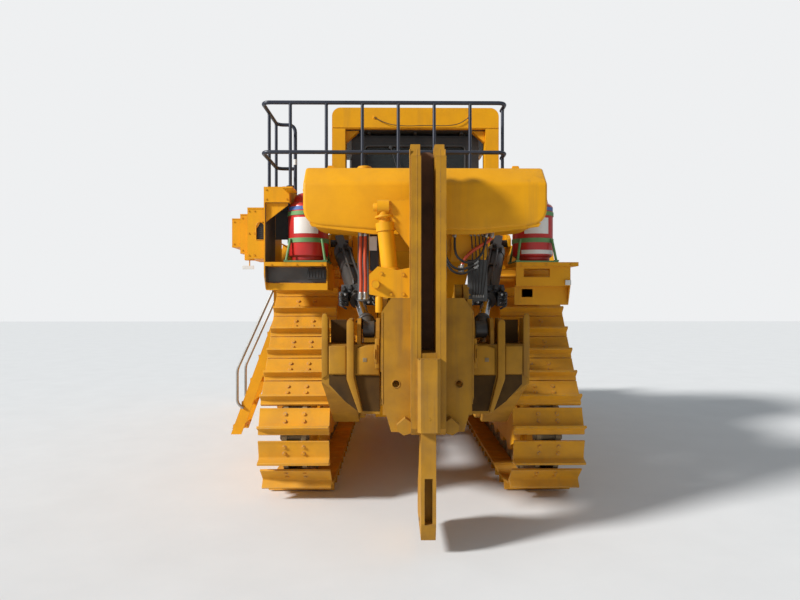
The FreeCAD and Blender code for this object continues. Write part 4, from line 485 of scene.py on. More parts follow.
# A plate from an outline in a plane, given thickness along the plane's normal and bevelled.
def addPlate(outline, thick, bevel=0.004, segments=2):
    deselect()
    mesh = bpy.data.meshes.new("plate")
    mesh.from_pydata([Vector(p) for p in outline], [], [tuple(range(len(outline)))])
    made = bpy.data.objects.new("plate", mesh)
    bpy.context.scene.collection.objects.link(made)
    bpy.context.view_layer.objects.active = made
    made.select_set(True)
    bpy.ops.object.mode_set(mode="EDIT")
    bpy.ops.mesh.select_all(action="SELECT")
    bpy.ops.mesh.extrude_region_move(TRANSFORM_OT_translate={"value": thick})
    bpy.ops.mesh.select_all(action="SELECT")
    bpy.ops.mesh.normals_make_consistent(inside=False)
    if bevel:
        bpy.ops.mesh.bevel(offset=bevel, segments=segments, affect="EDGES", clamp_overlap=True)
    bpy.ops.object.mode_set(mode="OBJECT")
    return made


# A tube along smooth points: a curve with a round bevel, made a mesh.
def addTube(points, radius, sides=6, smooth=True, cyclic=False):
    deselect()
    curve = bpy.data.curves.new("tube", "CURVE")
    curve.dimensions = "3D"
    curve.bevel_depth = radius
    curve.bevel_resolution = max(1, sides // 2 - 1)
    curve.use_fill_caps = True
    spline = curve.splines.new("NURBS" if smooth else "POLY")
    spline.points.add(len(points) - 1)
    for place, point in zip(spline.points, points):
        place.co = (*point, 1)
    if smooth:
        spline.order_u = 3
        spline.use_endpoint_u = True
        spline.resolution_u = 8
    spline.use_cyclic_u = cyclic
    made = bpy.data.objects.new("tube", curve)
    bpy.context.scene.collection.objects.link(made)
    bpy.context.view_layer.objects.active = made
    made.select_set(True)
    bpy.ops.object.convert(target="MESH")
    return bpy.context.active_object


# A bent tube: straight runs with round bends of one radius, as a pipe bender leaves them.
def addBentTube(points, radius, bend, sides=12, steps=6):
    places = [Vector(p) for p in points]
    line = [places[0]]
    for before, here, after in zip(places, places[1:], places[2:]):
        back, ahead = (before - here).normalized(), (after - here).normalized()
        half = back.angle(ahead) / 2
        reach = min(bend / math.tan(half), (before - here).length * 0.48, (after - here).length * 0.48)
        for step in range(steps + 1):
            share = step / steps
            first, last = here + back * reach, here + ahead * reach
            line.append(first.lerp(here, share).lerp(here.lerp(last, share), share))
    line.append(places[-1])
    return addTube(line, radius, sides, smooth=False)


def addRing(place, axis, large, small, sides=28, inner=10):
    deselect()
    bpy.ops.mesh.primitive_torus_add(major_radius=large, minor_radius=small, major_segments=sides,
                                     minor_segments=inner, location=place, rotation=turnAlong(axis))
    made = bpy.context.active_object
    bpy.ops.object.transform_apply(location=True, rotation=True, scale=True)
    return made


# A turned shape: a profile of radius and height spun round an axis.
def addTurned(place, axis, profile, sides=32):
    deselect()
    mesh = bpy.data.meshes.new("turned")
    mesh.from_pydata([(r, 0, h) for r, h in profile], [(k, k + 1) for k in range(len(profile) - 1)], [])
    made = bpy.data.objects.new("turned", mesh)
    bpy.context.scene.collection.objects.link(made)
    bpy.context.view_layer.objects.active = made
    made.select_set(True)
    bpy.ops.object.mode_set(mode="EDIT")
    bpy.ops.mesh.select_all(action="SELECT")
    bpy.ops.mesh.spin(steps=sides, angle=2 * math.pi, center=(0, 0, 0), axis=(0, 0, 1))
    bpy.ops.mesh.select_all(action="SELECT")
    bpy.ops.mesh.remove_doubles(threshold=0.0001)
    bpy.ops.mesh.normals_make_consistent(inside=False)
    bpy.ops.object.mode_set(mode="OBJECT")
    made.rotation_euler = turnAlong(axis)
    made.location = place
    bpy.ops.object.transform_apply(location=True, rotation=True, scale=True)
    return made


# One bolt head with its washer, modelled once at the origin and copied to every place.
def makeBolt():
    washer = addBar((0, 0, 0), (0, 0, 0.18), 1.35, 12, 0)
    head = addBar((0, 0, 0.12), (0, 0, 0.85), 1.0, 6, 0.10)
    return joinPieces([washer, head])


def joinPieces(pieces):
    deselect()
    for piece in pieces:
        piece.select_set(True)
    bpy.context.view_layer.objects.active = pieces[0]
    if len(pieces) > 1:
        bpy.ops.object.join()
    return bpy.context.active_object


def copyMany(model, turns):
    mesh = bmesh.new()
    for turn in turns:
        part = model.data.copy()
        part.transform(turn)
        mesh.from_mesh(part)
        bpy.data.meshes.remove(part)
    made = bpy.data.objects.new("copies", bpy.data.meshes.new("copies"))
    mesh.to_mesh(made.data)
    mesh.free()
    bpy.context.scene.collection.objects.link(made)
    return made


def boltRow(places, direction, size):
    turn = turnAlong(direction).to_matrix().to_4x4()
    return copyMany(bolt, [Matrix.Translation(p) @ turn @ Matrix.Scale(size, 4) for p in places])


def mirrorCopy(piece):
    made = bpy.data.objects.new(piece.name, piece.data.copy())
    bpy.context.scene.collection.objects.link(made)
    made.data.transform(Matrix.Scale(-1, 4, (1, 0, 0)))
    made.data.flip_normals()
    return made


def settle(name, pieces, finish, body="machine", smooth=35, both=False):
    piece = joinPieces(pieces if isinstance(pieces, list) else [pieces])
    if both:
        piece = joinPieces([piece, mirrorCopy(piece)])
    piece.name = name
    piece.data.name = name
    piece.data.transform(Matrix.Translation((0, rowShift, rowLift)))
    piece.data.materials.clear()
    piece.data.materials.append(finishes[finish])
    if smooth:
        bpy.ops.object.shade_smooth_by_angle(angle=math.radians(smooth))
    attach(piece, body)
    return piece


bolt = makeBolt()
bolt.name = "boltModel"

# Tracks: one detailed shoe with its bolts, links and pin, modelled once and copied along the belt
trackValues = {
    "gauge": 2.55, "shoeWidth": 0.71, "idlerSpacing": 3.74, "shoePitch": 0.278, "idlerRadius": 0.47,
    "driveRadius": 0.50, "driveBack": 0.86, "driveHeight": 1.80, "linkHalf": 0.075, "plate": 0.025,
    "grouser": 0.090, "grouserBase": 0.040, "grouserTip": 0.024, "boltSide": (0.095,),
    "boltSize": 0.0165, "linkInner": 0.070, "linkThick": 0.050, "pinRadius": 0.030,
}


def beltPins():
    v = trackValues
    low = v["idlerRadius"] + v["linkHalf"] + v["plate"] + v["grouser"] - rowLift
    wheels = [(Vector((0, -v["idlerSpacing"] / 2, low)), v["idlerRadius"]),
              (Vector((0, -v["driveBack"], v["driveHeight"])), v["driveRadius"]),
              (Vector((0, v["idlerSpacing"] / 2, low)), v["idlerRadius"])]
    runs = []
    for k in range(3):
        (centre, radius), (following, other) = wheels[k], wheels[(k + 1) % 3]
        along = following - centre
        side = math.atan2(along.z, along.y) + math.acos((radius - other) / along.length)
        out = Vector((0, math.cos(side), math.sin(side)))
        runs.append((centre + out * radius, following + out * other, side))
    line = []
    for k in range(3):
        begin, end, side = runs[k]
        line.append(("run", (end - begin).length, begin, end, side))
        centre, radius = wheels[(k + 1) % 3]
        line.append(("arc", radius * ((side - runs[(k + 1) % 3][2]) % (2 * math.pi)), centre, radius, side))
    total = sum(part[1] for part in line)
    count = round(total / v["shoePitch"])
    pins = []
    for k in range(count):
        distance = total * k / count
        for kind, length, first, second, side in line:
            if distance <= length:
                if kind == "run":
                    pins.append(first + (second - first) * (distance / length))
                else:
                    angle = side - distance / second
                    pins.append(first + Vector((0, math.cos(angle), math.sin(angle))) * second)
                break
            distance -= length
    return pins


# The shoe lies along +Y at the origin, its plate's underside at the link height above the pin line.
def makeShoe(long):
    v = trackValues
    half, crest, wide = v["linkHalf"], v["linkHalf"] + v["plate"], v["shoeWidth"] / 2
    ridge = -long * 0.28
    lip = 0.012
    profile = [(-long / 2, half - lip), (-long / 2 + 0.02, half), (long / 2 - 0.03, half),
               (long / 2, half + 0.008), (long / 2, crest + 0.006), (long / 2 - 0.03, crest),
               (ridge + v["grouserBase"] / 2 + 0.02, crest), (ridge + v["grouserBase"] / 2, crest + 0.012),
               (ridge + v["grouserTip"] / 2, crest + v["grouser"]),
               (ridge - v["grouserTip"] / 2, crest + v["grouser"]),
               (ridge - v["grouserBase"] / 2, crest + 0.010), (-long / 2, crest)]
    shoe = addPlate([(-wide, a, b) for a, b in profile], (2 * wide, 0, 0), bevel=0.003, segments=1)
    heads = [Vector((x * way, ridge + 0.075 + k * 0.07, crest)) for x in v["boltSide"] for way in (-1, 1)
             for k in (0, 1)]
    return joinPieces([shoe, boltRow(heads, (0, 0, 1), v["boltSize"])])


# A link: a waisted side plate from one pin to the next, with its boss, and the pin at one end.
def makeLink(long):
    v = trackValues
    half = v["linkHalf"]
    outline = []
    for k in range(9):
        angle = math.pi * (0.5 + k / 8)
        outline.append((math.cos(angle) * half * 0.86, math.sin(angle) * half * 0.86))
    outline += [(long * 0.26, -half), (long * 0.74, -half)]
    for k in range(9):
        angle = math.pi * (-0.5 + k / 8)
        outline.append((long + math.cos(angle) * half * 0.86, math.sin(angle) * half * 0.86))
    outline += [(long * 0.74, half), (long * 0.26, half)]
    pieces = []
    for way in (-1, 1):
        start = way * v["linkInner"] if way > 0 else -v["linkInner"] - v["linkThick"]
        plate = addPlate([(start, a - long / 2, b) for a, b in outline], (v["linkThick"], 0, 0), 0.004, 1)
        boss = addBar((start - 0.012, -long / 2, 0), (start + v["linkThick"] + 0.012, -long / 2, 0), 0.046,
                      16)
        pieces += [plate, boss]
    pieces.append(addBar((-0.145, -long / 2, 0), (0.145, -long / 2, 0), v["pinRadius"], 14))
    pieces.append(addBar((-0.072, -long / 2, 0), (0.072, -long / 2, 0), 0.042, 14, 0))
    return joinPieces(pieces)


def makeTracks():
    v = trackValues
    pins = beltPins()
    pitch = (pins[1] - pins[0]).length
    shoe, link = makeShoe(pitch - 0.012), makeLink(pitch)
    turns = []
    for k, pin in enumerate(pins):
        following = pins[(k + 1) % len(pins)]
        along = (following - pin).normalized()
        out = Vector((0, -along.z, along.y))
        turn = Matrix(((1, 0, 0), (0, along.y, out.y), (0, along.z, out.z))).to_4x4()
        turns.append(Matrix.Translation((pin + following) / 2) @ turn)
    for side, word in sideWords:
        shift = Matrix.Translation((side * v["gauge"] / 2, 0, 0))
        shoes = settle(f"trackShoes{word.title()}", copyMany(shoe, [shift @ t for t in turns]), "trackYellow")
        settle(f"trackLinks{word.title()}", copyMany(link, [shift @ t for t in turns]), "trackSteel")
        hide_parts(f"track_{word}")
    for model in (shoe, link):
        bpy.data.objects.remove(model)


makeTracks()
print("tracks laid")

# A hose between two places on one body: a smooth curve
def addHose(name, points, diameter, body, finish="rubberHose"):
    deselect()
    curve = bpy.data.curves.new(name, "CURVE")
    curve.dimensions = "3D"
    curve.resolution_u = 8
    spline = curve.splines.new("NURBS")
    spline.points.add(len(points) - 1)
    for place, point in zip(spline.points, points):
        place.co = (point[0], point[1] + rowShift, point[2] + rowLift, 1)
    spline.order_u = 3
    spline.use_endpoint_u = True
    hose = bpy.data.objects.new(name, curve)
    bpy.context.scene.collection.objects.link(hose)
    line = bpy.data.meshes.new_from_object(hose)
    bpy.data.meshes.remove(line)
    curve.bevel_depth = diameter / 2
    curve.bevel_resolution = 3
    curve.use_fill_caps = True
    curve.materials.append(finishes[finish])
    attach(hose, body)
    return hose


# A swaged hose end: collar, hexagon and the stub that enters the port.
def hoseEnd(place, direction, size):
    start, way = Vector(place), Vector(direction).normalized()
    return [addBar(start - way * size * 0.5, start + way * size * 1.6, size * 0.72, 16, 0.001),
            addBar(start - way * size * 1.1, start - way * size * 0.5, size * 0.85, 6, 0.001),
            addRing(start + way * size * 1.2, way, size * 0.70, size * 0.10, 16, 6)]


# Guard rail on the tank: bent tubes, posts with foot flanges, and a pale band on the left upright
railValues = {"tube": 0.019, "post": 0.016, "top": 3.845, "middle": 3.37, "bend": 0.085, "back": -2.63,
              "left": -1.54, "front": -1.88, "right": 0.80, "inner": -1.345, "hutch": 3.08, "tank": 3.15,
              "posts": (0.455, 0.11, -0.235, -0.58, -0.925)}


def makeGuardRail():
    v = railValues
    tubes = []
    for level in (v["top"], v["middle"]):
        line = [(v["inner"], v["front"], level), (v["left"], v["front"], level),
                (v["left"], v["back"], level), (v["right"], v["back"], level),
                (v["right"], v["back"] + 0.24, level)]
        if level == v["top"]:
            line.insert(0, (v["inner"], v["front"], v["hutch"] + 0.004))
        tubes.append(addBentTube(line, v["tube"], v["bend"], 14))
    feet = [(x, v["back"], v["tank"]) for x in v["posts"]]
    feet += [(v["right"], v["back"] + 0.18, v["tank"]), (v["left"], v["front"] - 0.06, v["hutch"]),
             (v["left"], -2.30, v["hutch"]), (-1.27, v["back"], v["hutch"] - 0.045)]
    bolts = []
    for x, y, foot in feet:
        tubes.append(addBar((x, y, foot), (x, y, v["top"] - 0.012), v["post"], 14, 0))
        tubes.append(addBlock((x - 0.034, y - 0.024, foot), (x + 0.034, y + 0.024, foot + 0.010), 0.003, 1))
        tubes.append(addRing((x, y, foot + 0.012), (0, 0, 1), v["post"], 0.004, 14, 6))
        tubes.append(addRing((x, y, v["top"] - 0.018), (0, 0, 1), v["post"], 0.003, 14, 6))
        bolts += [Vector((x + side, y, foot + 0.010)) for side in (-0.025, 0.025)]
    rail = settle("guardRail", tubes, "navyTube")
    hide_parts("guard_rail")
    settle("guardRailBolts", boltRow(bolts, (0, 0, 1), 0.007), "zincSteel")
    settle("railBand", [addBar((v["inner"], v["front"], 3.41), (v["inner"], v["front"], 3.47), 0.0205, 18,
                               0.001)], "whitePaint")


makeGuardRail()

# Fire bottles: turned bodies with a foot ring and shoulder, label shells, valve heads and stands
bottleValues = {"side": 1.16, "back": -2.19, "foot": 2.345, "radius": 0.205}


def wrapLabel(centre, radius, low, high, start, end, steps=20, thick=0.0012):
    outline = []
    mesh = bmesh.new()
    for k in range(steps + 1):
        angle = math.radians(start + (end - start) * k / steps)
        for r in (radius, radius + thick):
            for z in (low, high):
                outline.append(mesh.verts.new((centre[0] + math.cos(angle) * r,
                                               centre[1] + math.sin(angle) * r, z)))
    for k in range(steps):
        a, b = k * 4, k * 4 + 4
        for first, second in ((0, 1), (1, 3), (3, 2), (2, 0)):
            mesh.faces.new((outline[a + first], outline[a + second], outline[b + second], outline[b + first]))
    for a in (0, steps * 4):
        mesh.faces.new((outline[a], outline[a + 1], outline[a + 3], outline[a + 2]))
    bmesh.ops.recalc_face_normals(mesh, faces=mesh.faces)
    made = bpy.data.objects.new("label", bpy.data.meshes.new("label"))
    mesh.to_mesh(made.data)
    mesh.free()
    bpy.context.scene.collection.objects.link(made)
    return made


def makeBottles():
    v = bottleValues
    profile = [(0, 0), (0.150, 0), (0.166, 0.004), (0.172, 0.014), (0.172, 0.036), (0.186, 0.046),
               (0.201, 0.056), (0.205, 0.070), (0.205, 0.548), (0.202, 0.562), (0.190, 0.576), (0.168, 0.590),
               (0.156, 0.602), (0.150, 0.632), (0.138, 0.662), (0.112, 0.686), (0.078, 0.700), (0.045, 0.706),
               (0, 0.706)]
    bodies, heads, white, blue = [], [], [], []
    for side in (-1, 1):
        place = Vector((side * v["side"], v["back"], v["foot"]))
        bodies.append(addTurned(place, (0, 0, 1), profile, 40))
        heads += [addBar(place + Vector((0, 0, 0.700)), place + Vector((0, 0, 0.745)), 0.024, 8, 0.003),
                  addBar(place + Vector((-0.03, -0.06, 0.728)), place + Vector((0, 0.05, 0.728)), 0.012, 14,
                         0.002), addBar(place + Vector((0.05, 0, 0.726)), place + Vector((-0.03, 0, 0.726)),
                                        0.012, 14, 0.002)]
        white.append(wrapLabel(place, v["radius"] + 0.0005, 2.618, 2.780, 234, 306))
        blue.append(wrapLabel(place, v["radius"] + 0.0005, 2.856, 2.892, 205, 335, 30))
    white.append(wrapLabel(Vector((v["side"], v["back"], v["foot"])), v["radius"] + 0.0005, 2.415, 2.455, 225,
                           330))
    bottles = settle("fireBottles", bodies, "redPaint", smooth=40)
    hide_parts("fire_bottles")
    settle("bottleValves", heads, "zincSteel")
    settle("bottleWhiteLabels", white, "whitePaint", smooth=30)
    settle("bottleBlueBands", blue, "blueBand", smooth=30)
    stands = []
    for side in (-1, 1):
        place = Vector((side * v["side"], v["back"], 2.33))
        stands.append(addBlock(place - Vector((0.215, 0.215, 0)), place + Vector((0.215, 0.215, 0.015)),
                               0.003, 1))
        for level, tall in ((0.200, 0.045), (0.475, 0.040)):
            stands.append(wrapLabel(place, v["radius"] + 0.001, 2.33 + level, 2.33 + level + tall, 0, 360, 48,
                                    0.006))
            stands.append(addBlock(place + Vector((-0.02 * side - 0.012, 0.207, level + 0.004)),
                                   place + Vector((-0.02 * side + 0.012, 0.24, level + tall - 0.004)), 0.002,
                                   1))
        for x in (-1, 1):
            for y in (-1, 1):
                stands.append(addBar(place + Vector((x * 0.196, y * 0.196, 0.008)),
                                     place + Vector((x * 0.159, y * 0.159, 0.235)), 0.013, 12, 0))
                stands.append(addBlock(place + Vector((x * 0.196 - 0.022, y * 0.196 - 0.022, 0.013)),
                                       place + Vector((x * 0.196 + 0.022, y * 0.196 + 0.022, 0.021)), 0.002,
                                       1))
        stands.append(addBlock(place + Vector((-0.012, 0.208, 0.01)), place + Vector((0.012, 0.222, 0.51)),
                               0.003, 1))
    stand = settle("bottleStands", stands, "greenPaint", smooth=30)
    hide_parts("bottle_stands")
    feet = [Vector((side * v["side"] + x * 0.185, v["back"] + y * 0.185, 2.345)) for side in (-1, 1)
            for x in (-1, 1) for y in (-1, 1)]
    settle("bottleFrameBolts", boltRow(feet, (0, 0, 1), 0.010), "zincSteel")


makeBottles()
print("rails and bottles made")

# Fuel tank: keel strip, filler cap, lifting eyes and end bolts
tankValues = {"half": 1.075, "back": -3.14, "front": -2.45, "low": 2.56, "top": 3.15}


def makeTankDetail():
    v = tankValues
    strip = [(-1.02, 2.632), (-0.46, 2.572), (0.46, 2.572), (1.02, 2.632), (1.0, 2.598), (0.46, 2.530),
             (-0.46, 2.530), (-1.0, 2.598)]
    keel = addPlate([(x, v["back"] + 0.012, z) for x, z in strip], (0, 0.022, 0), 0.003, 1)
    settle("tankKeelStrip", [keel], "yellowPaint")
    cap = [addTurned((-0.55, -2.80, v["top"]), (0, 0, 1),
                     [(0.085, 0), (0.085, 0.010), (0.068, 0.014), (0.068, 0.034), (0.060, 0.042), (0, 0.044)],
                     28), addBlock((-0.585, -2.806, 3.192), (-0.515, -2.794, 3.202), 0.003, 1)]
    settle("tankFillerCap", cap, "yellowPaint")
    eyes = []
    for x in (-0.86, 0.86):
        eyes.append(addPlate([(x - 0.05, -2.80, v["top"]), (x + 0.05, -2.80, v["top"]),
                              (x + 0.028, -2.80, v["top"] + 0.055), (x - 0.028, -2.80, v["top"] + 0.055)],
                             (0, 0.018, 0), 0.003, 1))
    bolts = [Vector((side * (v["half"] + 0.001), y, z)) for side in (-1, 1)
             for y, z in ((-3.05, 2.78), (-3.05, 2.93), (-2.75, 3.08), (-2.55, 3.0), (-2.55, 2.72))]
    for side in (-1, 1):
        places = [b for b in bolts if b.x * side > 0]
        eyes.append(boltRow(places, (side, 0, 0), 0.012))
    settle("tankBoltsAndEyes", eyes, "yellowPaint")


makeTankDetail()

# Canopy: a dark sheet and ribs painted as shade on the underside, edge lip, lifting eyes, post bolts, gussets
# and a thin draped cable with its plugs
canopyValues = {"half": 1.07, "low": 4.14, "top": 4.41, "back": -0.70, "front": 1.05}


def makeCanopyDetail():
    v = canopyValues
    # A dark sheet with ribs under the canopy: painted shade on its underside.
    under = addBlock((-v["half"] + 0.05, v["back"] + 0.05, v["low"] - 0.012),
                     (v["half"] - 0.05, v["front"] - 0.05, v["low"] - 0.001), 0.003, 1)
    ribs = [addBlock((x - 0.02, v["back"] + 0.08, v["low"] - 0.04),
                     (x + 0.02, v["front"] - 0.1, v["low"] - 0.012), 0.004, 1) for x in (-0.6, 0.0, 0.6)]
    settle("canopyUnderShade", [under] + ribs, "darkPlastic")
    eyes = []
    for x in (-0.70, 0.70):
        for y in (v["back"] + 0.25, v["front"] - 0.25):
            eyes += [addPlate([(x - 0.055, y, v["top"]), (x + 0.055, y, v["top"]),
                               (x + 0.03, y, v["top"] + 0.07), (x - 0.03, y, v["top"] + 0.07)], (0, 0.02, 0),
                              0.004, 1)]
    for x in (-0.53, 0.68):
        eyes.append(addBar((x, v["back"] - 0.012, 4.285), (x, v["back"] + 0.002, 4.285), 0.020, 16, 0.003))
    lip = [(-1.06, v["back"] - 0.003, 4.155), (1.06, v["back"] - 0.003, 4.155)]
    eyes.append(addTube(lip, 0.005, 6, smooth=False))
    settle("canopyEyes", eyes, "yellowPaint")
    bolts = [Vector((x, -0.701, z)) for x in (-1.03, -0.94, 0.94, 1.03) for z in (2.70, 2.82)]
    settle("postBolts", boltRow(bolts, (0, -1, 0), 0.014), "yellowPaint")
    gussets = []
    for side in (-1, 1):
        gussets.append(addPlate([(side * 0.90, -0.64, 3.98), (side * 0.90, -0.64, 4.138),
                                 (side * 0.72, -0.64, 4.138)], (0, 0.10, 0), 0.004, 1))
    settle("postGussets", gussets, "yellowPaint")
    wire = [(-0.53, -0.715, 4.285), (-0.40, -0.722, 4.20), (-0.15, -0.722, 4.165), (0.15, -0.722, 4.18),
            (0.42, -0.722, 4.17), (0.60, -0.722, 4.21), (0.68, -0.715, 4.285)]
    addHose("canopyCable", wire, 0.009, "machine")


makeCanopyDetail()
print("tank and canopy detailed")

# Rear fenders: dark plates painted as shade and dirt on the inner walls and as the panel behind the bottles,
# box seams, bolts and the small hung plate
fenderValues = {"boxFaces": (-2.351, -2.241, -2.161), "rear": -2.401, "cover": (-2.335, -2.341), "slots": 6,
                "window": (-1.663, -1.577)}


def makeFenderDetail():
    v = fenderValues
    boxFaces = v["boxFaces"]
    # Dark plates on the left fender's inner walls, behind the bottles and on the shelf: painted shade, with
    # dirt.
    shade = [addBlock((-1.563, -2.385, 2.13), (-1.559, -1.90, 2.915), 0.001, 1),
             addBlock((-1.556, -1.905, 2.60), (-1.16, -1.895, 2.925), 0.001, 1),
             addBlock((-1.555, -2.28, 2.125), (-0.97, -2.272, 2.285), 0.001, 1),
             addBlock((-1.555, -1.90, 2.922), (-1.335, -2.38, 2.924), 0.0005, 1)]
    settle("fenderShade", shade, "darkLiningAndPaintedShade")
    block = [addBlock((-1.15, -2.33, 2.16), (-0.96, -2.20, 2.265), 0.008, 2)]
    block += [addBlock((-1.145 + k * 0.03, -2.336, 2.175), (-1.13 + k * 0.03, -2.329, 2.25), 0.002, 1)
              for k in range(v["slots"])]
    settle("fenderBlackBox", block, "darkPlastic")
    seams = []
    # Raised edges on the three stepped boxes, a frame round the arched window and a slotted cover inside it.
    for low, high in (((-1.75, -2.354, 2.365), (-1.575, -2.350, 2.380)),
                      ((-1.75, -2.354, 2.865), (-1.575, -2.350, 2.880)),
                      ((-1.850, -2.244, 2.425), (-1.750, -2.240, 2.437)),
                      ((-1.850, -2.244, 2.818), (-1.750, -2.240, 2.830)),
                      ((-1.955, -2.164, 2.495), (-1.850, -2.160, 2.507)),
                      ((-1.955, -2.164, 2.783), (-1.850, -2.160, 2.795)),
                      ((-1.958, -2.12, 2.52), (-1.955, -1.68, 2.77)),
                      ((-1.753, -2.33, 2.40), (-1.750, -2.26, 2.85))):
        seams.append(addBlock(low, high, 0.001, 1))
    left, right = v["window"]
    arch = [(left, 2.555), (left, 2.692), (-1.650, 2.720), (-1.620, 2.738), (-1.590, 2.720), (right, 2.692),
            (right, 2.555), (left, 2.555)]
    seams.append(addTube([(x, -2.352, z) for x, z in arch], 0.004, 6, smooth=False))
    settle("serviceBoxEdges", seams, "yellowPaint")
    back, slot = v["cover"]
    cover = [addBlock((-1.66, back, 2.557), (-1.58, -2.330, 2.73), 0.002, 1)]
    cover += [addBlock((-1.655, slot, 2.57 + k * 0.022), (-1.600, -2.334, 2.579 + k * 0.022), 0.001, 1)
              for k in range(v["slots"])]
    settle("serviceBoxCover", cover, "darkPlastic")
    places = [Vector((x, boxFaces[0], z)) for x in (-1.735, -1.68) for z in (2.40, 2.62, 2.845)]
    places += [Vector((x, boxFaces[1], z)) for x in (-1.83, -1.77) for z in (2.46, 2.79)]
    places += [Vector((x, boxFaces[2], z)) for x in (-1.935, -1.87) for z in (2.53, 2.76)]
    places += [Vector((x, v["rear"], z)) for x in (-1.55, -1.345) for z in (2.955, 3.05)]
    places += [Vector((side * x, v["rear"], 2.305)) for side in (-1, 1) for x in (1.0, 1.25, 1.5)]
    places += [Vector((x, y, z)) for y, z in ((-2.381, 1.93), (-2.291, 2.26)) for x in (1.0, 1.45)]
    settle("fenderBolts", boltRow(places, (0, -1, 0), 0.008), "yellowPaint")
    hung = [addBlock((-1.80, -2.27, 2.355), (-1.71, -2.20, 2.425), 0.004, 1),
            addBar((-1.755, -2.235, 2.30), (-1.755, -2.235, 2.36), 0.006, 8, 0)]
    settle("boxBracket", hung, "yellowPaint")
    settle("hungPlate", [addBlock((-1.83, -2.24, 2.265), (-1.71, -2.234, 2.302), 0.002, 1)], "whitePaint")
    light = [addBlock((1.44, -2.405, 2.10), (1.50, -2.398, 2.15), 0.003, 1),
             addBlock((1.02, -2.302, 1.975), (1.14, -2.292, 2.065), 0.004, 1)]
    settle("fenderReflectors", light, "whitePaint")


makeFenderDetail()

# Fender upper surfaces: grip strips between the cab and the edge, with a folded lip and a handhold each side
walkwayValues = {"strips": 13, "first": -1.25, "step": 0.165, "wide": 0.10, "inner": 0.99, "outer": 1.49,
                 "top": 2.585, "hold": 1.53, "holdHeight": 3.25}


def makeWalkways():
    v = walkwayValues
    strips, lips = [], []
    for side in (-1, 1):
        for k in range(v["strips"]):
            y = v["first"] + k * v["step"]
            strips.append(addBlock((side * v["inner"], y, v["top"]),
                                   (side * v["outer"], y + v["wide"], 2.589), 0.001, 1))
        lips.append(addBlock((side * 1.565, -1.45, v["top"]), (side * 1.575, 0.98, 2.600), 0.002, 1))
        line = [(-0.10, 2.588), (-0.10, v["holdHeight"]), (0.62, v["holdHeight"]), (0.62, 2.588)]
        lips.append(addBentTube([(side * v["hold"], y, z) for y, z in line], 0.016, 0.09, 12))
    settle("walkwayStrips", strips, "darkPlastic", smooth=0)
    settle("walkwayLips", lips[0::2], "yellowPaint")
    settle("walkwayHandholds", lips[1::2], "navyTube")


makeWalkways()
print("fenders detailed")

# Ripper linkage: pins with flanged heads, keeper plates and bolts, and grease fittings
pinValues = {"hinge": (-2.0, 0.80), "carry": (-3.05, 1.25), "linkFront": (-2.0, 1.55),
             "linkBack": (-3.05, 2.0)}


# A pin's end: a flanged head with a keeper plate held by a bolt, and a grease fitting in the centre.
def pinEnd(x, place, way, radius):
    y, z = place
    face = Vector((x, y, z))
    out = Vector((way, 0, 0))
    parts = [addTurned(face, out, [(radius * 0.96, 0), (radius * 0.96, 0.008), (radius * 0.86, 0.016),
                                   (0, 0.016)], 24), addBlock((x, y - radius * 0.30, z + radius * 0.55),
                                                              (x + way * 0.014, y + radius * 0.30,
                                                               z + radius * 1.45), 0.004, 1),
             addBar(face + out * 0.014, face + out * 0.034, 0.007, 6, 0.001)]
    parts.append(boltRow([face + Vector((way * 0.013, 0, radius * 1.2))], out, 0.011))
    return parts


def makePins():
    v = pinValues
    low, top, back = [], [], []
    for way in (-1, 1):
        low += pinEnd(way * 0.906, v["hinge"], way, 0.062)
        low += pinEnd(way * 0.401, v["carry"], way, 0.060)
        top += pinEnd(way * 0.372, v["linkFront"], way, 0.047)
        back += pinEnd(way * 0.372, v["linkBack"], way, 0.047)
    settle("lowerFramePins", low, "ripperYellow", body="ripper_lower_frame")
    settle("upperLinkPins", top, "ripperYellow")
    settle("carriagePins", back, "ripperYellow", body="ripper_carriage_body")


makePins()


# Mast and carriage: weld beads along the flanges and plates, the holes' rims, the keeper's mark and lip,
# a dark film painted as shade in the channel between the flanges, and the jack's bolts, collars and pins.
mastValues = {"plate": -3.481, "web": -3.2902, "flange": -3.638, "seam": 0.14, "hole": (0.26, 1.265),
              "channel": 0.0598,
              "jackY": -3.4}


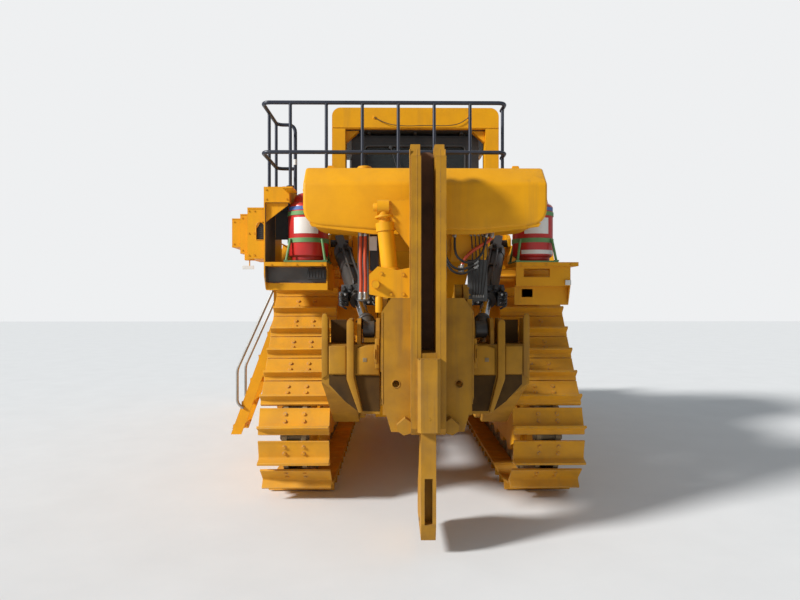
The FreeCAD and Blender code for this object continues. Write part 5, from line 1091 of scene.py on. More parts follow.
def makeMastDetail():
    v = mastValues
    plate, web, jackY = v["plate"], v["web"], v["jackY"]
    welds = []
    for side in (-1, 1):
        x = side * v["seam"]
        welds.append(addTube([(x * 1.03, -3.478, z) for z in (1.97, 2.6, 3.19)], 0.006, 6))
        welds.append(addTube([(x * 0.66, v["flange"], z) for z in (0.95, 2.2, 3.15)], 0.004, 6))
    for side in (-1, 1):
        welds.append(addRing((side * v["hole"][0], plate, v["hole"][1]), (0, 1, 0), 0.033, 0.004, 24, 8))
    for x in (-0.37, 0.37):
        welds.append(addTube([(x, plate, 1.85), (x, plate, 1.3), (x * 0.995, plate, 1.10)], 0.004, 6))
    settle("carriageWelds", welds, "ripperYellow", body="ripper_carriage_body")
    mark = [addBar((0.0, -3.713, 1.02), (0.0, -3.706, 1.02), 0.014, 4, 0.002),
            addBlock((-0.086, -3.705, 1.488), (0.086, -3.655, 1.494), 0.002, 1)]
    settle("keeperMark", mark, "ripperYellow", body="ripper_carriage_body")
    # A thin dark film on the web between the flanges: painted shade.
    half = v["channel"]
    outline = [(-half, 1.52), (half, 1.52), (half, 3.19), (0.03, 3.21), (-0.03, 3.21), (-half, 3.19)]
    film = addPlate([(x, web, z) for x, z in outline], (0, 0.0003, 0), 0)
    settle("mastChannelShade", [film], "paintedChannelShade", body="ripper_carriage_body", smooth=0)
    base = [Vector((x, plate, z))
            for x, z in ((-0.44, 2.10), (-0.38, 2.17), (-0.20, 2.16), (-0.20, 2.00), (-0.30, 2.0))]
    jack = [boltRow(base, (0, -1, 0), 0.013),
            addRing((-0.312, jackY, 2.205), (-0.1, 0, 1), 0.070, 0.012, 28, 8),
            addRing((-0.358, jackY, 2.645), (-0.1, 0, 1), 0.070, 0.010, 28, 8),
            addBar((-0.45, jackY, 2.725), (-0.30, jackY, 2.725), 0.034, 20, 0.004),
            addBar((-0.425, -3.54, 2.08), (-0.425, -3.475, 2.08), 0.030, 20, 0.004),
            addBar((-0.40, -3.45, 2.005), (-0.40, -3.45, 1.85), 0.030, 16, 0.004)]
    settle("jackFittings", jack, "yellowPaint", body="ripper_carriage_body")
    foot = [addBar((-0.064, -3.30, 0.09), (0.064, -3.30, 0.09), 0.018, 16, 0.003)]
    settle("tipPin", foot, "wornSteel", body="shank")


makeMastDetail()


# Ripper frame seen from behind: raised rear blocks, ribs that lean in to the foot, and dark plates painted as
# shade on the faces below the blocks and on the backs of the ears.
# Each relief row: its outline in x and z on the right side, its place in y, its thickness, bevel and steps.
frameValues = {
    "light": (([(0.840, 1.31), (0.840, 1.555), (0.690, 1.555), (0.690, 1.31)], -3.206, 0.028, 0.010, 3),
              ([(0.600, 1.305), (0.600, 1.535), (0.520, 1.560), (0.402, 1.560), (0.402, 1.305)], -3.212,
               0.034, 0.010, 3),
              ([(0.684, 1.27), (0.684, 1.76), (0.670, 1.785), (0.640, 1.785), (0.622, 1.76), (0.622, 1.285),
                (0.548, 0.985), (0.580, 0.978)], -3.236, 0.058, 0.006, 2),
              ([(0.903, 1.27), (0.903, 1.80), (0.893, 1.835), (0.862, 1.835), (0.850, 1.80), (0.850, 1.30)],
               -3.196,
               0.018, 0.005, 2)),
    # Dark rows: painted shade.
    "dark": (([(0.840, 1.300), (0.690, 1.300), (0.690, 1.262), (0.590, 0.985), (0.700, 1.07), (0.840, 1.22)],
              -3.186,
              0.008, 0.002, 1),
             ([(0.612, 1.295), (0.402, 1.295), (0.402, 0.985), (0.545, 0.985)], -3.186, 0.008, 0.002, 1),
             ([(0.845, 1.562), (0.845, 1.775), (0.700, 1.775), (0.700, 1.562)], -2.99, 0.012, 0.003, 1)),
    "marks": (([(0.545, 1.418), (0.545, 1.452), (0.511, 1.452), (0.511, 1.418)], -3.216, 0.006, 0.002, 1),),
    "pinCovers": ((1.36, 1.62), (1.41, 1.57), (1.45, 1.53)),
}


def makeFrameRelief():
    v = frameValues
    groups = {"light": [], "dark": [], "marks": []}
    for side in (-1, 1):
        for kind, made in groups.items():
            for outline, y, thick, bevel, steps in v[kind]:
                made.append(addPlate([(side * x, y, z) for x, z in outline], (0, thick, 0), bevel, steps))
        for k, (low, high) in enumerate(v["pinCovers"]):
            groups["light"].append(addBlock((side * (0.402 + k * 0.016), -3.232 - k * 0.012, low),
                                            (side * (0.440 + k * 0.004), -3.18, high), 0.006, 2))
    settle("frameBlocks", groups["light"], "ripperYellow", body="ripper_lower_frame")
    # The dark plates are painted shade on faces that lean in under the blocks and on the backs of the ears.
    settle("frameShade", groups["dark"], "paintedShadeYellow", body="ripper_lower_frame")
    settle("frameMarks", groups["marks"], "trackSteel", body="ripper_lower_frame")


makeFrameRelief()
print("ripper detailed")

# Fuel tank: one shell with rounded lower corners, a sloped rear top band and softened edges
def makeTankShell():
    v = tankValues
    outline = []
    for side in (1, -1):
        corner = [(side * v["half"], 2.77), (side * v["half"], 2.62), (side * 0.91, 2.602)]
        arc = []
        for step in range(7):
            share = step / 6
            a, b, c = (Vector((x, 0, z)) for x, z in corner)
            arc.append(a.lerp(b, share).lerp(b.lerp(c, share), share))
        row = [(p.x, p.z) for p in arc] + [(side * 0.45, v["low"] + 0.003)]
        outline += row if side > 0 else row[::-1]
    outline += [(-v["half"], v["top"]), (v["half"], v["top"])]
    shell = addPlate([(x, v["back"], z) for x, z in outline], (0, v["front"] - v["back"], 0), 0)
    mesh = bmesh.new()
    mesh.from_mesh(shell.data)
    crest = [e for e in mesh.edges if all(abs(w.co.y - v["back"]) < 1e-4 and abs(w.co.z - v["top"]) < 1e-4
                                          for w in e.verts)]
    bmesh.ops.bevel(mesh, geom=crest, offset=0.17, segments=1, affect="EDGES")
    rim = [e for e in mesh.edges if len(e.link_faces) == 2 and e.calc_face_angle(0) > 0.45]
    bmesh.ops.bevel(mesh, geom=rim, offset=0.028, segments=4, profile=0.5, affect="EDGES", clamp_overlap=True)
    mesh.to_mesh(shell.data)
    mesh.free()
    tank = settle("fuelTankShell", [shell], "yellowPaint", smooth=30)
    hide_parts("fuel_tank")


makeTankShell()

# Ripper cylinders: barrels with heads, ports, pipes and glands, polished rods and cast eyes
cylinderValues = {"head": (0.87, -1.78, 2.57), "eye": (0.50, -3.04, 1.69), "barrel": 0.091, "rod": 0.050,
                  "yoke": 0.075,
                  "valveBlocks": ((0.085, 0.175, -0.095, 0.045), (-0.085, -0.180, -0.085, 0.060))}


# Valve blocks, fittings and short pipes around the lower end of a barrel; out is -1 for the left one.
def addBarrelValves(gland, out, valve, ferrules):
    for near, far, low, high in cylinderValues["valveBlocks"]:
        a, b = gland.x + out * near, gland.x + out * far
        valve.append(addBlock((min(a, b), gland.y - 0.10, gland.z + low),
                              (max(a, b), gland.y + 0.06, gland.z + high), 0.010, 2))
        for row in range(3):
            z = gland.z + low + (high - low) * (0.2 + row * 0.3)
            for column in range(2):
                x = a + (b - a) * (0.26 + column * 0.48)
                valve.append(addBar((x, gland.y - 0.098, z), (x, gland.y - 0.122, z), 0.017, 6, 0.002))
                ferrules.append(addBar((x, gland.y - 0.120, z), (x, gland.y - 0.145 - 0.02 * row, z), 0.011,
                                       12, 0.002))
            pipe = [(x, gland.y - 0.150 - 0.02 * row, z), (x, gland.y - 0.185 - 0.01 * row, z - 0.012),
                    (x - out * 0.03, gland.y - 0.190, z - 0.035), (x - out * 0.055, gland.y - 0.17, z - 0.05)]
            valve.append(addTube(pipe, 0.009, 8))
    cap = [(0.026, -0.03), (0.026, 0.02), (0.018, 0.024), (0.018, 0.040), (0, 0.043)]
    for k in range(5):
        start = Vector((gland.x - 0.13 + k * 0.065, gland.y - 0.09, gland.z + 0.058 + 0.012 * (k % 2)))
        valve += [addBar(start, start + Vector((0, -0.045, 0.012)), 0.018, 6, 0.002),
                  addTurned(start + Vector((0, 0.045, 0)), (0, 0, 1), cap, 16)]
    valve.append(addBlock((gland.x - 0.155, gland.y - 0.055, gland.z + 0.046),
                          (gland.x + 0.155, gland.y + 0.06, gland.z + 0.112), 0.010, 2))


def makeCylinders():
    v = cylinderValues
    for side, word in sideWords:
        head = Vector((side * v["head"][0], *v["head"][1:]))
        eye = Vector((side * v["eye"][0], *v["eye"][1:]))
        way = (eye - head).normalized()
        across = way.cross(Vector((0, 0, 1))).normalized()
        up = across.cross(way).normalized()
        top, gland = head + way * 0.27, head + way * 1.05
        body = [addBar(gland - way * 0.02, gland + way * 0.055, v["barrel"], 28, 0.004),
                addTurned(head + way * 0.20, way, [(0.091, 0), (0.098, 0.004), (0.098, 0.10), (0.091, 0.104)],
                          32)]
        body.append(addRing(gland - way * 0.02, way, 0.0925, 0.006, 32, 8))
        for turn in range(8):
            angle = turn * math.pi / 4 + 0.3
            place = gland + way * 0.055 + (across * math.cos(angle) + up * math.sin(angle)) * 0.074
            body.append(boltRow([place], way, 0.010))
        for shift in (-0.034, 0.034):
            line = [top + up * 0.085 + across * shift, top + way * 0.05 + up * 0.108 + across * shift,
                    gland - way * 0.12 + up * 0.108 + across * shift,
                    gland - way * 0.09 + up * 0.085 + across * shift]
            body.append(addBentTube(line, 0.012, 0.03, 10))
        for along in (0.30, 0.62):
            place = head + way * along + up * 0.100
            body.append(addBar(place - across * 0.060, place + across * 0.060, 0.016, 8, 0.003))
        settle(f"ripperBarrelFittings{word.title()}", body, "blackPaint",
               body=f"ripper_cylinder_barrel_{word}")
        valve = [addBar(top + up * 0.07 - across * 0.075, top + up * 0.07 + across * 0.075, 0.034, 10, 0.005),
                 addBar(top + up * 0.07, top + up * 0.150, 0.024, 12, 0.004)]
        ferrules = []
        addBarrelValves(gland, side, valve, ferrules)
        settle(f"ripperBarrelFerrules{word.title()}", ferrules, "zincSteel",
               body=f"ripper_cylinder_barrel_{word}")
        settle(f"ripperBarrelValve{word.title()}", valve, "darkPlastic",
               body=f"ripper_cylinder_barrel_{word}")
        rod = settle(f"ripperRod{word.title()}",
                     [addBar(head + way * 0.40, eye - way * 0.085, v["rod"], 32, 0.004)], "chromeRod",
                     body=f"ripper_cylinder_rod_{word}")
        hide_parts(f"ripper_rod_{word}")
        cast = [addBar(eye - Vector((0.048, 0, 0)), eye + Vector((0.048, 0, 0)), v["yoke"], 32, 0.006),
                addTurned(eye - way * 0.175, way,
                          [(0, 0), (0.056, 0), (0.066, 0.010), (0.070, 0.05), (0.058, 0.12), (0, 0.12)], 24),
                addRing(eye - way * 0.125, way, 0.066, 0.014, 28, 10)]
        for shift in (-1, 1):
            cast.append(boltRow([eye - way * 0.125 + across * shift * 0.078], way, 0.012))
            cast.append(addRing(eye + Vector((shift * 0.049, 0, 0)), (1, 0, 0), 0.058, 0.005, 24, 6))
        settle(f"ripperRodEye{word.title()}", cast, "blackPaint", body=f"ripper_cylinder_rod_{word}")


makeCylinders()
print("cylinders detailed")

# Hose boards under the tank, their ports, and the hoses between them; every hose starts and ends at a port.
hoseValues = {"board": (-0.605, -0.505), "panel": (0.245, 0.585), "low": 1.94, "face": -2.925,
              "portFace": -2.93, "sleeves": (-0.575, -0.535), "pilotStart": 0.425, "pilotStep": 0.034,
              "pilots": 5}


def makeHoses():
    v = hoseValues
    dark = [addBlock((v["board"][0], -2.935, v["low"]), (v["board"][1], -2.923, 2.585), 0.003, 1),
            addBlock((0.395, -2.937, v["low"]), (0.575, -2.925, 2.32), 0.003, 1),
            addBlock((0.150, -2.935, 2.14), (0.205, -2.899, 2.50), 0.003, 1)]
    settle("hoseBoards", dark, "darkLiningAndPaintedShade")
    left, right = v["panel"]
    outline = [(left, 2.30), (left, 2.575), (right, 2.585), (right, 2.36), (0.50, 2.28)]
    panel = [addPlate([(x, v["face"], z) for x, z in outline], (0, 0.012, 0), 0.003, 1)]
    settle("hosePanel", panel, "yellowPaint")
    settle("filterLabel", addBlock((-0.500, -2.962, 2.40), (-0.430, -2.950, 2.53), 0.003, 1), "whitePaint")
    settle("filterBox", addBlock((-0.495, -2.95, 2.22), (-0.415, -2.86, 2.56), 0.008, 2), "darkPlastic")
    ports, lines = [], []
    # Two sleeved hoses run down the left board from the tank's underside to its foot.
    for k, x in enumerate(v["sleeves"]):
        lines.append(("rearSleeve" + "AB"[k],
                      [(x, -2.985, 2.565), (x, -2.985, 2.48), (x - 0.005, -2.990, 2.30),
                       (x + 0.004, -2.990, 2.15), (x, -2.985, 2.03), (x, -2.985, 1.985)], 0.030,
                      "orangeSleeve"))
    # The black loop and the red sleeves hang from fittings under the tank, over the panel.
    lines.append(("rearLoop", [(0.275, -2.99, 2.545), (0.265, -2.99, 2.42), (0.300, -2.995, 2.325),
                               (0.385, -3.0, 2.280), (0.480, -2.995, 2.315), (0.545, -2.99, 2.42),
                               (0.560, -2.99, 2.545)], 0.022, "rubberHose"))
    lines.append(("rightSleeve", [(0.610, -2.965, 2.555), (0.605, -2.97, 2.500), (0.530, -2.975, 2.455),
                                  (0.420, -2.975, 2.390), (0.350, -2.975, 2.310), (0.335, -2.970, 2.235)],
                  0.032, "orangeSleeve"))
    for k in range(2):
        z = 2.455 - k * 0.04
        lines.append(("crossHose" + "AB"[k],
                      [(0.18, -2.915, z), (0.18, -2.965, z - 0.01), (0.19, -2.985, z - 0.12),
                       (0.26, -2.985, z - 0.22), (0.38, -2.985, z - 0.23), (0.47, -2.975, z - 0.16)], 0.022,
                      "rubberHose"))
    for k in range(v["pilots"]):
        x = v["pilotStart"] + k * v["pilotStep"]
        lines.append((f"pilotHose{k + 1}",
                      [(x, -2.968, 2.545), (x + 0.006, -2.975, 2.45), (x + 0.010, -2.975, 2.28),
                       (0.435 + k * 0.028, -2.978, 2.12), (0.446 + k * 0.021, -2.972, 1.985)], 0.011,
                      "rubberHose"))
    for name, points, size, finish in lines:
        addHose(name, points, size, "machine", finish)
        first, second, last, before = (Vector(points[k]) for k in (0, 1, -1, -2))
        ports += hoseEnd(first, second - first, size * 0.8) + hoseEnd(last, before - last, size * 0.8)
        for place in (first, last):
            deep = Vector((place.x, v["portFace"], place.z))
            ports.append(addBlock(deep - Vector((size * 0.8, 0.010, size * 0.9)),
                                  deep + Vector((size * 0.8, 0.006, size * 0.9)), 0.002, 1))
            ports.append(addBar(deep, place, size * 0.55, 12, 0.002))
    settle("hosePorts", ports, "zincSteel")


makeHoses()
print("hoses laid")

# Bolts seated on a CAD piece: each start point is sent along a direction, and a bolt stands where it lands.
def boltsOn(node, starts, direction, size):
    turns = []
    way = Vector(direction).normalized()
    for start in starts:
        place = Vector((start[0], start[1] + rowShift, start[2] + rowLift))
        hit, spot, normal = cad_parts[node].ray_cast(place, way)[:3]
        if hit and normal.dot(way) < -0.3:
            spot = spot - Vector((0, rowShift, rowLift))
            turn = turnAlong(normal).to_matrix().to_4x4()
            turns.append(Matrix.Translation(spot) @ turn @ Matrix.Scale(size, 4))
    return copyMany(bolt, turns)


def circle(x, y, z, radius, count, start=0.0):
    return [(x, y + math.cos(start + k * 2 * math.pi / count) * radius,
             z + math.sin(start + k * 2 * math.pi / count) * radius) for k in range(count)]


# Running gear: hub covers, drive bolts, roller collars and frame bolts
runningValues = {"outside": 1.9, "drive": (-0.86, 1.80), "idler": 1.87, "idlerHeight": 0.54, "rollers": 6,
                 "rollerFirst": -1.175, "rollerStep": 0.47, "rollerHeight": 0.285, "pivot": (-0.20, 0.62)}


def makeRunningGear():
    v = runningValues
    driveY, driveZ = v["drive"]
    yellow, steel = [], []
    for side, word in sideWords:
        out, inward = side * v["outside"], (-side, 0, 0)
        yellow.append(boltsOn("final_drives", circle(out, driveY, driveZ, 0.19, 12), inward, 0.017))
        steel.append(boltsOn("sprockets", circle(out, driveY, driveZ, 0.385, 24, 0.1), inward, 0.014))
        yellow.append(addTurned((side * 1.425, driveY, driveZ), (side, 0, 0),
                                [(0.09, 0), (0.09, 0.012), (0.07, 0.022), (0.025, 0.022), (0.022, 0.034),
                                 (0, 0.034)], 28))
        for y in (-v["idler"], v["idler"]):
            yellow.append(addTurned((side * 1.445, y, v["idlerHeight"]), (side, 0, 0),
                                    [(0.115, -0.01), (0.115, 0.012), (0.095, 0.024), (0, 0.026)], 28))
            yellow.append(boltRow([Vector(p) for p in circle(side * 1.466, y, v["idlerHeight"], 0.078, 6)],
                                  (side, 0, 0), 0.010))
        for k in range(v["rollers"]):
            y = v["rollerFirst"] + k * v["rollerStep"]
            steel.append(addTurned((side * 1.445, y, v["rollerHeight"]), (side, 0, 0),
                                   [(0.070, -0.01), (0.070, 0.010), (0.055, 0.020), (0.018, 0.022),
                                    (0, 0.022)], 20))
        rows = [(out, -1.30 + k * 0.26, z) for k in range(11) for z in (0.64, 0.84)]
        yellow.append(boltsOn(f"track_frame_{word}", rows, inward, 0.013))
        yellow.append(addTurned((side * 1.885, *v["pivot"]), (side, 0, 0),
                                [(0.105, -0.012), (0.105, 0.006), (0.090, 0.016), (0, 0.016)], 28))
        yellow.append(boltRow([Vector(p) for p in circle(side * 1.898, *v["pivot"], 0.070, 6)], (side, 0, 0),
                              0.010))
    settle("runningGearCovers", yellow, "yellowPaint")
    settle("rollerCollars", steel, "trackSteel")


makeRunningGear()
print("running gear detailed")

# Engine compartment: louvres and latches on the doors, grille bars, lamps, stack caps and air cleaner tops
engineValues = {"louvres": 9, "louvreFirst": 1.98, "louvreStep": 0.065, "door": 0.6365, "bars": 15,
                "barFirst": -0.644,
                "barStep": 0.092, "stack": (0.33, 1.65), "cleaner": (0.33, 1.25), "hoodLamps": (-0.55, 0.55),
                "roofLamps": (-0.90, -0.45, 0.45, 0.90)}


def makeEngineDetail():
    v = engineValues
    door = v["door"]
    for side, word in sideWords:
        louvres = []
        for column in (1.16, 1.72):
            for k in range(v["louvres"]):
                z = v["louvreFirst"] + k * v["louvreStep"]
                louvres.append(addPlate([(side * door, column, z), (side * 0.652, column, z + 0.006),
                                         (side * door, column, z + 0.034)], (0, 0.40, 0), 0.002, 1))
        for z in (2.05, 2.45):
            louvres.append(addBlock((side * door, 2.115, z), (side * 0.655, 2.15, z + 0.075), 0.004, 1))
            louvres.append(addBar((side * 0.645, 2.132, z + 0.037), (side * 0.664, 2.132, z + 0.037), 0.016,
                                  16, 0.002))
        settle(f"engineDoorLouvres{word.title()}", louvres, "yellowPaint", body=f"engine_door_{word}_body")
    bars, screws = [], []
    for k in range(v["bars"]):
        x = v["barFirst"] + k * v["barStep"]
        bars.append(addPlate([(x, 2.798, 1.10), (x, 2.798, 2.70), (x + 0.030, 2.840, 2.70),
                              (x + 0.030, 2.840, 1.10)], (0.008, -0.006, 0), 0.002, 1))
    for z in (1.38, 1.90, 2.42):
        bars.append(addBlock((-0.68, 2.79, z - 0.02), (0.68, 2.812, z + 0.02), 0.003, 1))
    settle("radiatorBars", bars, "yellowPaint")
    places = [(x, 3.2, z) for x in (-0.715, 0.715) for z in (1.1, 1.4, 1.7, 2.0, 2.3, 2.6)]
    places += [(x, 3.2, z) for z in (1.035, 2.765) for x in (-0.5, -0.25, 0.0, 0.25, 0.5)]
    screws.append(boltsOn("radiator_guard", places, (0, -1, 0), 0.013))
    roof = [(side * 0.565, 1.05 + k * 0.2, 3.4) for side in (-1, 1) for k in range(7)]
    screws.append(boltsOn("hood", roof, (0, 0, -1), 0.009))
    settle("guardBolts", screws, "yellowPaint")
    housings, lenses = [], []
    shade = [(0, 0), (0.042, 0), (0.066, 0.030), (0.070, 0.075), (0.064, 0.078), (0.060, 0.066), (0, 0.060)]
    glass = [(0.060, 0), (0.058, 0.007), (0.040, 0.011), (0, 0.013)]
    spots = [(x, 2.76, 2.86, -0.085, -0.045) for x in v["hoodLamps"]]
    spots += [(x, 1.075, 4.22, 0.055, 0.10) for x in v["roofLamps"]]
    for x, y, z, low, high in spots:
        housings += [addTurned((x, y - 0.055, z), (0, 1, 0), shade, 24),
                     addBlock((x - 0.010, y - 0.030, z + low), (x + 0.010, y + 0.010, z + high), 0.002, 1)]
        lenses.append(addTurned((x, y + 0.004, z), (0, 1, 0), glass, 24))
    for x in v["roofLamps"]:
        housings.append(addBlock((x - 0.05, 1.045, 4.30), (x + 0.05, 1.085, 4.318), 0.003, 1))
    settle("lampHousings", housings, "darkPlastic")
    settle("lampLenses", lenses, "lampGlass")
    caps, tops = [], []
    flap = [(0, 0.012), (0.075, 0.012), (0.092, 0.004), (0.092, 0), (0, 0)]
    for side in (-1, 1):
        x, y = side * v["stack"][0], v["stack"][1]
        caps += [addRing((x, y, 3.745), (0, 0, 1), 0.083, 0.006, 32, 8),
                 addRing((x, y, 3.05), (0, 0, 1), 0.086, 0.008, 32, 8),
                 addTurned((x, y, 3.752), (0.0, -0.55, 1), flap, 28),
                 addBar((x - 0.035, 1.742, 3.742), (x + 0.035, 1.742, 3.742), 0.010, 12, 0.002)]
    settle("stackCaps", caps, "exhaustSteel")
    lid = [(0.180, 0), (0.186, 0.012), (0.170, 0.026), (0.10, 0.034), (0.03, 0.04), (0, 0.04)]
    for side in (-1, 1):
        x, y = side * v["cleaner"][0], v["cleaner"][1]
        tops.append(addTurned((x, y, 3.282), (0, 0, 1), lid, 32))
        for z in (3.00, 3.12, 3.235):
            tops.append(addRing((x, y, z), (0, 0, 1), 0.191, 0.005, 40, 6))
    settle("cleanerTops", tops, "darkPlastic")


makeEngineDetail()
print("engine compartment detailed")

# Blade: edge bolts, push-arm bolts, pin covers and the lift cylinders' bands and pipes
bladeValues = {"boltStep": 0.165, "boltHeights": (-0.045, 0.075), "cylinder": 0.86, "liftHead": (2.30, 2.70),
               "liftEye": (3.15, 0.90), "armBolts": (-0.25, -0.10, 0.4, 0.9, 1.5, 2.1, 2.7)}


def makeBladeDetail():
    v = bladeValues
    bolts = [(x * v["boltStep"], 5.0, z) for x in range(-14, 15) for z in v["boltHeights"]]
    edge = [boltsOn("cutting_edge", bolts, (0, -1, 0), 0.017)]
    settle("edgeBolts", edge, "wornSteel", body="blade_assembly")
    arms = []
    for side, word in sideWords:
        starts = [(side * 2.2, y, 0.52) for y in v["armBolts"]]
        arms.append(boltsOn(f"push_arm_{word}", starts, (-side, 0, 0), 0.014))
    settle("pushArmBolts", arms, "yellowPaint", body="blade_assembly")
    pins = []
    for side in (-1, 1):
        pins += pinEnd(side * (v["cylinder"] + 0.055), v["liftEye"], side, 0.045)
    settle("bladeLiftPins", pins, "yellowPaint", body="blade_assembly")
    glands = []
    for side in (-1, 1):
        head = Vector((side * v["cylinder"], *v["liftHead"]))
        eye = Vector((side * v["cylinder"], *v["liftEye"]))
        way = (eye - head).normalized()
        for along in (-1.15, -0.60, -0.1, 0.30):
            glands.append(addRing(head + way * along, way, 0.096, 0.006, 32, 8))
        line = [head - way * 1.08 + Vector((side * 0.09, 0, 0)),
                head - way * 1.06 + Vector((side * 0.118, 0, 0)),
                head + way * 0.24 + Vector((side * 0.118, 0, 0)),
                head + way * 0.26 + Vector((side * 0.09, 0, 0))]
        glands.append(addBentTube(line, 0.012, 0.02, 10))
    settle("bladeBarrelFittings", glands, "blackPaint", body="blade_cylinder_barrels")


makeBladeDetail()
print("blade detailed")

# Cab: seat frame, cushions, window rims, wipers, door handles, controls and the unit in the roof
cabValues = {"back": -0.55, "front": 0.93, "half": 0.83, "floor": 2.49, "inflate": 0.024, "voxel": 0.011,
             "pressure": 4, "frames": 20, "pane": 0.868}


def makeCushion(name, low, high):
    v = cabValues
    pad = addBlock([c + 0.012 for c in low], [c - 0.012 for c in high], 0.030, 3)
    modifier = pad.modifiers.new("remesh", "REMESH")
    modifier.mode = "VOXEL"
    modifier.voxel_size = v["voxel"]
    bpy.ops.object.modifier_apply(modifier="remesh")
    start = [w.co.copy() for w in pad.data.vertices]
    cloth = pad.modifiers.new("cloth", "CLOTH")
    cloth.settings.use_pressure = True
    cloth.settings.uniform_pressure_force = v["pressure"]
    cloth.settings.effector_weights.gravity = 0
    cloth.point_cache.frame_start, cloth.point_cache.frame_end = 1, v["frames"]
    for step in range(1, v["frames"] + 1):
        bpy.context.scene.frame_set(step)
    deselect()
    pad.select_set(True)
    bpy.context.view_layer.objects.active = pad
    bpy.ops.object.modifier_apply(modifier="cloth")
    bpy.context.scene.frame_set(1)
    for vertex, old in zip(pad.data.vertices, start):
        moved = vertex.co - old
        if moved.length > v["inflate"]:
            vertex.co = old + moved.normalized() * v["inflate"]
    smoother = pad.modifiers.new("smooth", "SUBSURF")
    smoother.levels = smoother.render_levels = 1
    bpy.ops.object.modifier_apply(modifier="smooth")
    pad.name = name
    return pad


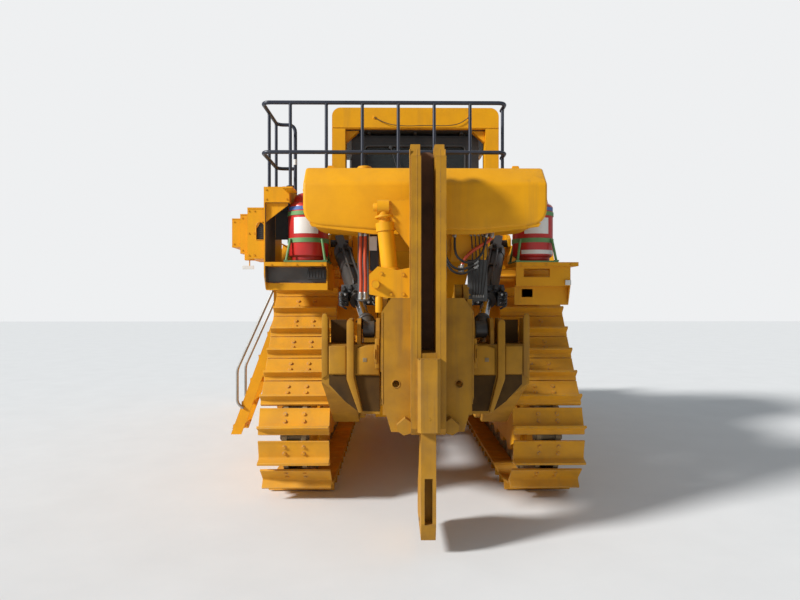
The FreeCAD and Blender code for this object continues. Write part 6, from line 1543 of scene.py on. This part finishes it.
def makeCab():
    v = cabValues
    base = [addBlock((-0.20, -0.25, v["floor"]), (0.20, 0.15, 2.56), 0.01, 2)]
    base += [addBlock((-0.17, -0.22, 2.56 + k * 0.045), (0.17, 0.12, 2.59 + k * 0.045), 0.014, 2)
             for k in range(5)]
    base += [addBlock((-0.24, -0.27, 2.79), (0.24, 0.22, 2.865), 0.015, 2),
             addBlock((-0.23, -0.290, 2.88), (0.23, -0.262, 3.50), 0.012, 2)]
    for side in (-1, 1):
        base += [addBlock((side * 0.285, -0.20, 3.10), (side * 0.355, 0.16, 3.145), 0.012, 2),
                 addBar((side * 0.30, -0.18, 2.85), (side * 0.30, -0.18, 3.11), 0.014, 12, 0.002),
                 addBar((side * 0.33, 0.20, 3.08), (side * 0.33, 0.235, 3.26), 0.011, 12, 0.002),
                 addTurned((side * 0.33, 0.233, 3.25), (0, 0.2, 1),
                           [(0.014, 0), (0.026, 0.02), (0.030, 0.06), (0.022, 0.095), (0, 0.10)], 18),
                 addBlock((side * 0.27, 0.12, 2.95), (side * 0.39, 0.28, 3.085), 0.014, 2)]
    settle("seatFrame", base, "darkPlastic")
    cushion = makeCushion("seatCushion", (-0.25, -0.13, 2.875), (0.25, 0.235, 2.985))
    backrest = makeCushion("seatBack", (-0.25, -0.258, 2.985), (0.25, -0.155, 3.535))
    for pad, name in ((cushion, "seatCushion"), (backrest, "seatBackrest")):
        made = settle(name, [pad], "seatCloth", smooth=60)
        if name == "seatCushion":
            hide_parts("seat")
    rims, dark = [], []
    for y, way in ((v["back"], -1), (v["front"], 1)):
        line = [(-0.655, y + way * 0.004, 2.985), (0.655, y + way * 0.004, 2.985),
                (0.655, y + way * 0.004, 3.955), (-0.655, y + way * 0.004, 3.955)]
        if way > 0:
            line = [(x * 1.06, a, b) for x, a, b in line]
        rims.append(addBentTube(line + line[:1], 0.011, 0.06, 8))
    settle("windowRims", rims, "darkPlastic")
    for side, start in ((-1, -0.32), (1, 0.30)):
        dark += [addBar((start, -0.552, 3.93), (start, -0.585, 3.93), 0.022, 16, 0.003),
                 addTube([(start, -0.580, 3.93), (start - side * 0.08, -0.584, 3.70),
                          (start - side * 0.12, -0.578, 3.45)], 0.006, 6),
                 addBlock((start - side * 0.13 - 0.006, -0.578, 3.28),
                          (start - side * 0.13 + 0.006, -0.560, 3.66), 0.002, 1)]
    settle("rearWipers", dark, "darkPlastic")
    for side, word in sideWords:
        parts = [addBlock((side * v["pane"], 0.63, 3.02), (side * 0.885, 0.70, 3.14), 0.006, 2),
                 addBentTube([(side * v["pane"], 0.60, 3.30), (side * 0.905, 0.60, 3.30),
                              (side * 0.905, 0.60, 3.60), (side * v["pane"], 0.60, 3.60)], 0.010, 0.03, 10)]
        line = [(side * v["pane"], -0.245, 2.805), (side * v["pane"], 0.675, 2.805),
                (side * v["pane"], 0.675, 3.885), (side * v["pane"], -0.245, 3.885)]
        parts.append(addBentTube(line + line[:1], 0.009, 0.05, 8))
        settle(f"doorHandle{word.title()}", parts, "darkPlastic", body=f"cab_door_{word}_body")
    desk = [addBlock((-0.36, 0.57, 3.06), (0.36, 0.62, 3.10), 0.01, 2),
            addBlock((-0.12, 0.60, 3.252), (0.12, 0.66, 3.40), 0.012, 2)]
    desk += [addBar((x, 0.598, 3.16), (x, 0.590, 3.16), 0.035, 24, 0.003) for x in (-0.27, 0.27)]
    desk += [addBlock((x - 0.05, 0.40, 2.50), (x + 0.05, 0.52, 2.56), 0.01, 2) for x in (-0.18, 0.18)]
    settle("cabControls", desk, "darkPlastic")
    roof = [addBlock((-0.45, -0.30, 4.06), (0.45, 0.35, 4.125), 0.02, 2),
            addBlock((-0.80, -0.53, 4.06), (0.80, -0.50, 4.10), 0.006, 1)]
    roof += [addBar((x, -0.45, 4.06), (x, -0.45, 4.138), 0.045, 20, 0.004) for x in (-0.62, 0.62)]
    settle("cabRoofUnit", roof, "darkPlastic")


makeCab()
print("cab detailed")

# Ladder: stringer bolts, and raised grips on the lowest step
ladderValues = {"stringers": (-0.88, -0.55), "boltHeights": (0.45, 0.85, 1.25, 1.6, 2.1, 2.5), "grips": 14,
                "gripStep": 0.024, "gripWide": 0.008, "tread": 0.335}


def makeLadderDetail():
    v = ladderValues
    starts = [(-3.0, y, z) for y in v["stringers"] for z in v["boltHeights"]]
    settle("ladderBolts", boltsOn("ladder", starts, (1, 0, 0), 0.009), "yellowPaint")
    grips = []
    for k in range(v["grips"]):
        y = v["stringers"][0] + k * v["gripStep"]
        grips.append(addBlock((-2.30, y, v["tread"]), (-2.19, y + v["gripWide"], v["tread"] + 0.006), 0.001,
                              1))
    settle("ladderGrips", grips, "trackSteel")


makeLadderDetail()
print("ladder detailed")

# Floor and close
def addFloor():
    bpy.ops.mesh.primitive_plane_add(size=90, location=(0, 0, 0))
    floor = bpy.context.active_object
    floor.name = "floor"
    material = bpy.data.materials.new("floorPale")
    material.use_nodes = True
    tree = material.node_tree
    shader = tree.nodes["Principled BSDF"]
    tone = rampNode(tree, noiseNode(tree, placeVector(tree), 1.5, 6, 0.6), 0.3, 0.7)
    pale = stageValues["floorColour"]
    tree.links.new(mixColour(tree, tone, pale, tuple(c * 0.96 for c in pale)), shader.inputs["Base Color"])
    shader.inputs["Roughness"].default_value = 0.9
    floor.data.materials.append(material)
    floor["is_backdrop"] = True


addFloor()
bpy.data.objects.remove(bolt)
print("floor laid")
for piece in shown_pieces():
    moved = piece.location.length > 1e-6 or piece.scale != Vector((1, 1, 1))
    if piece.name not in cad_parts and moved:
        raise SystemExit(f"{piece.name} isn't at the origin")
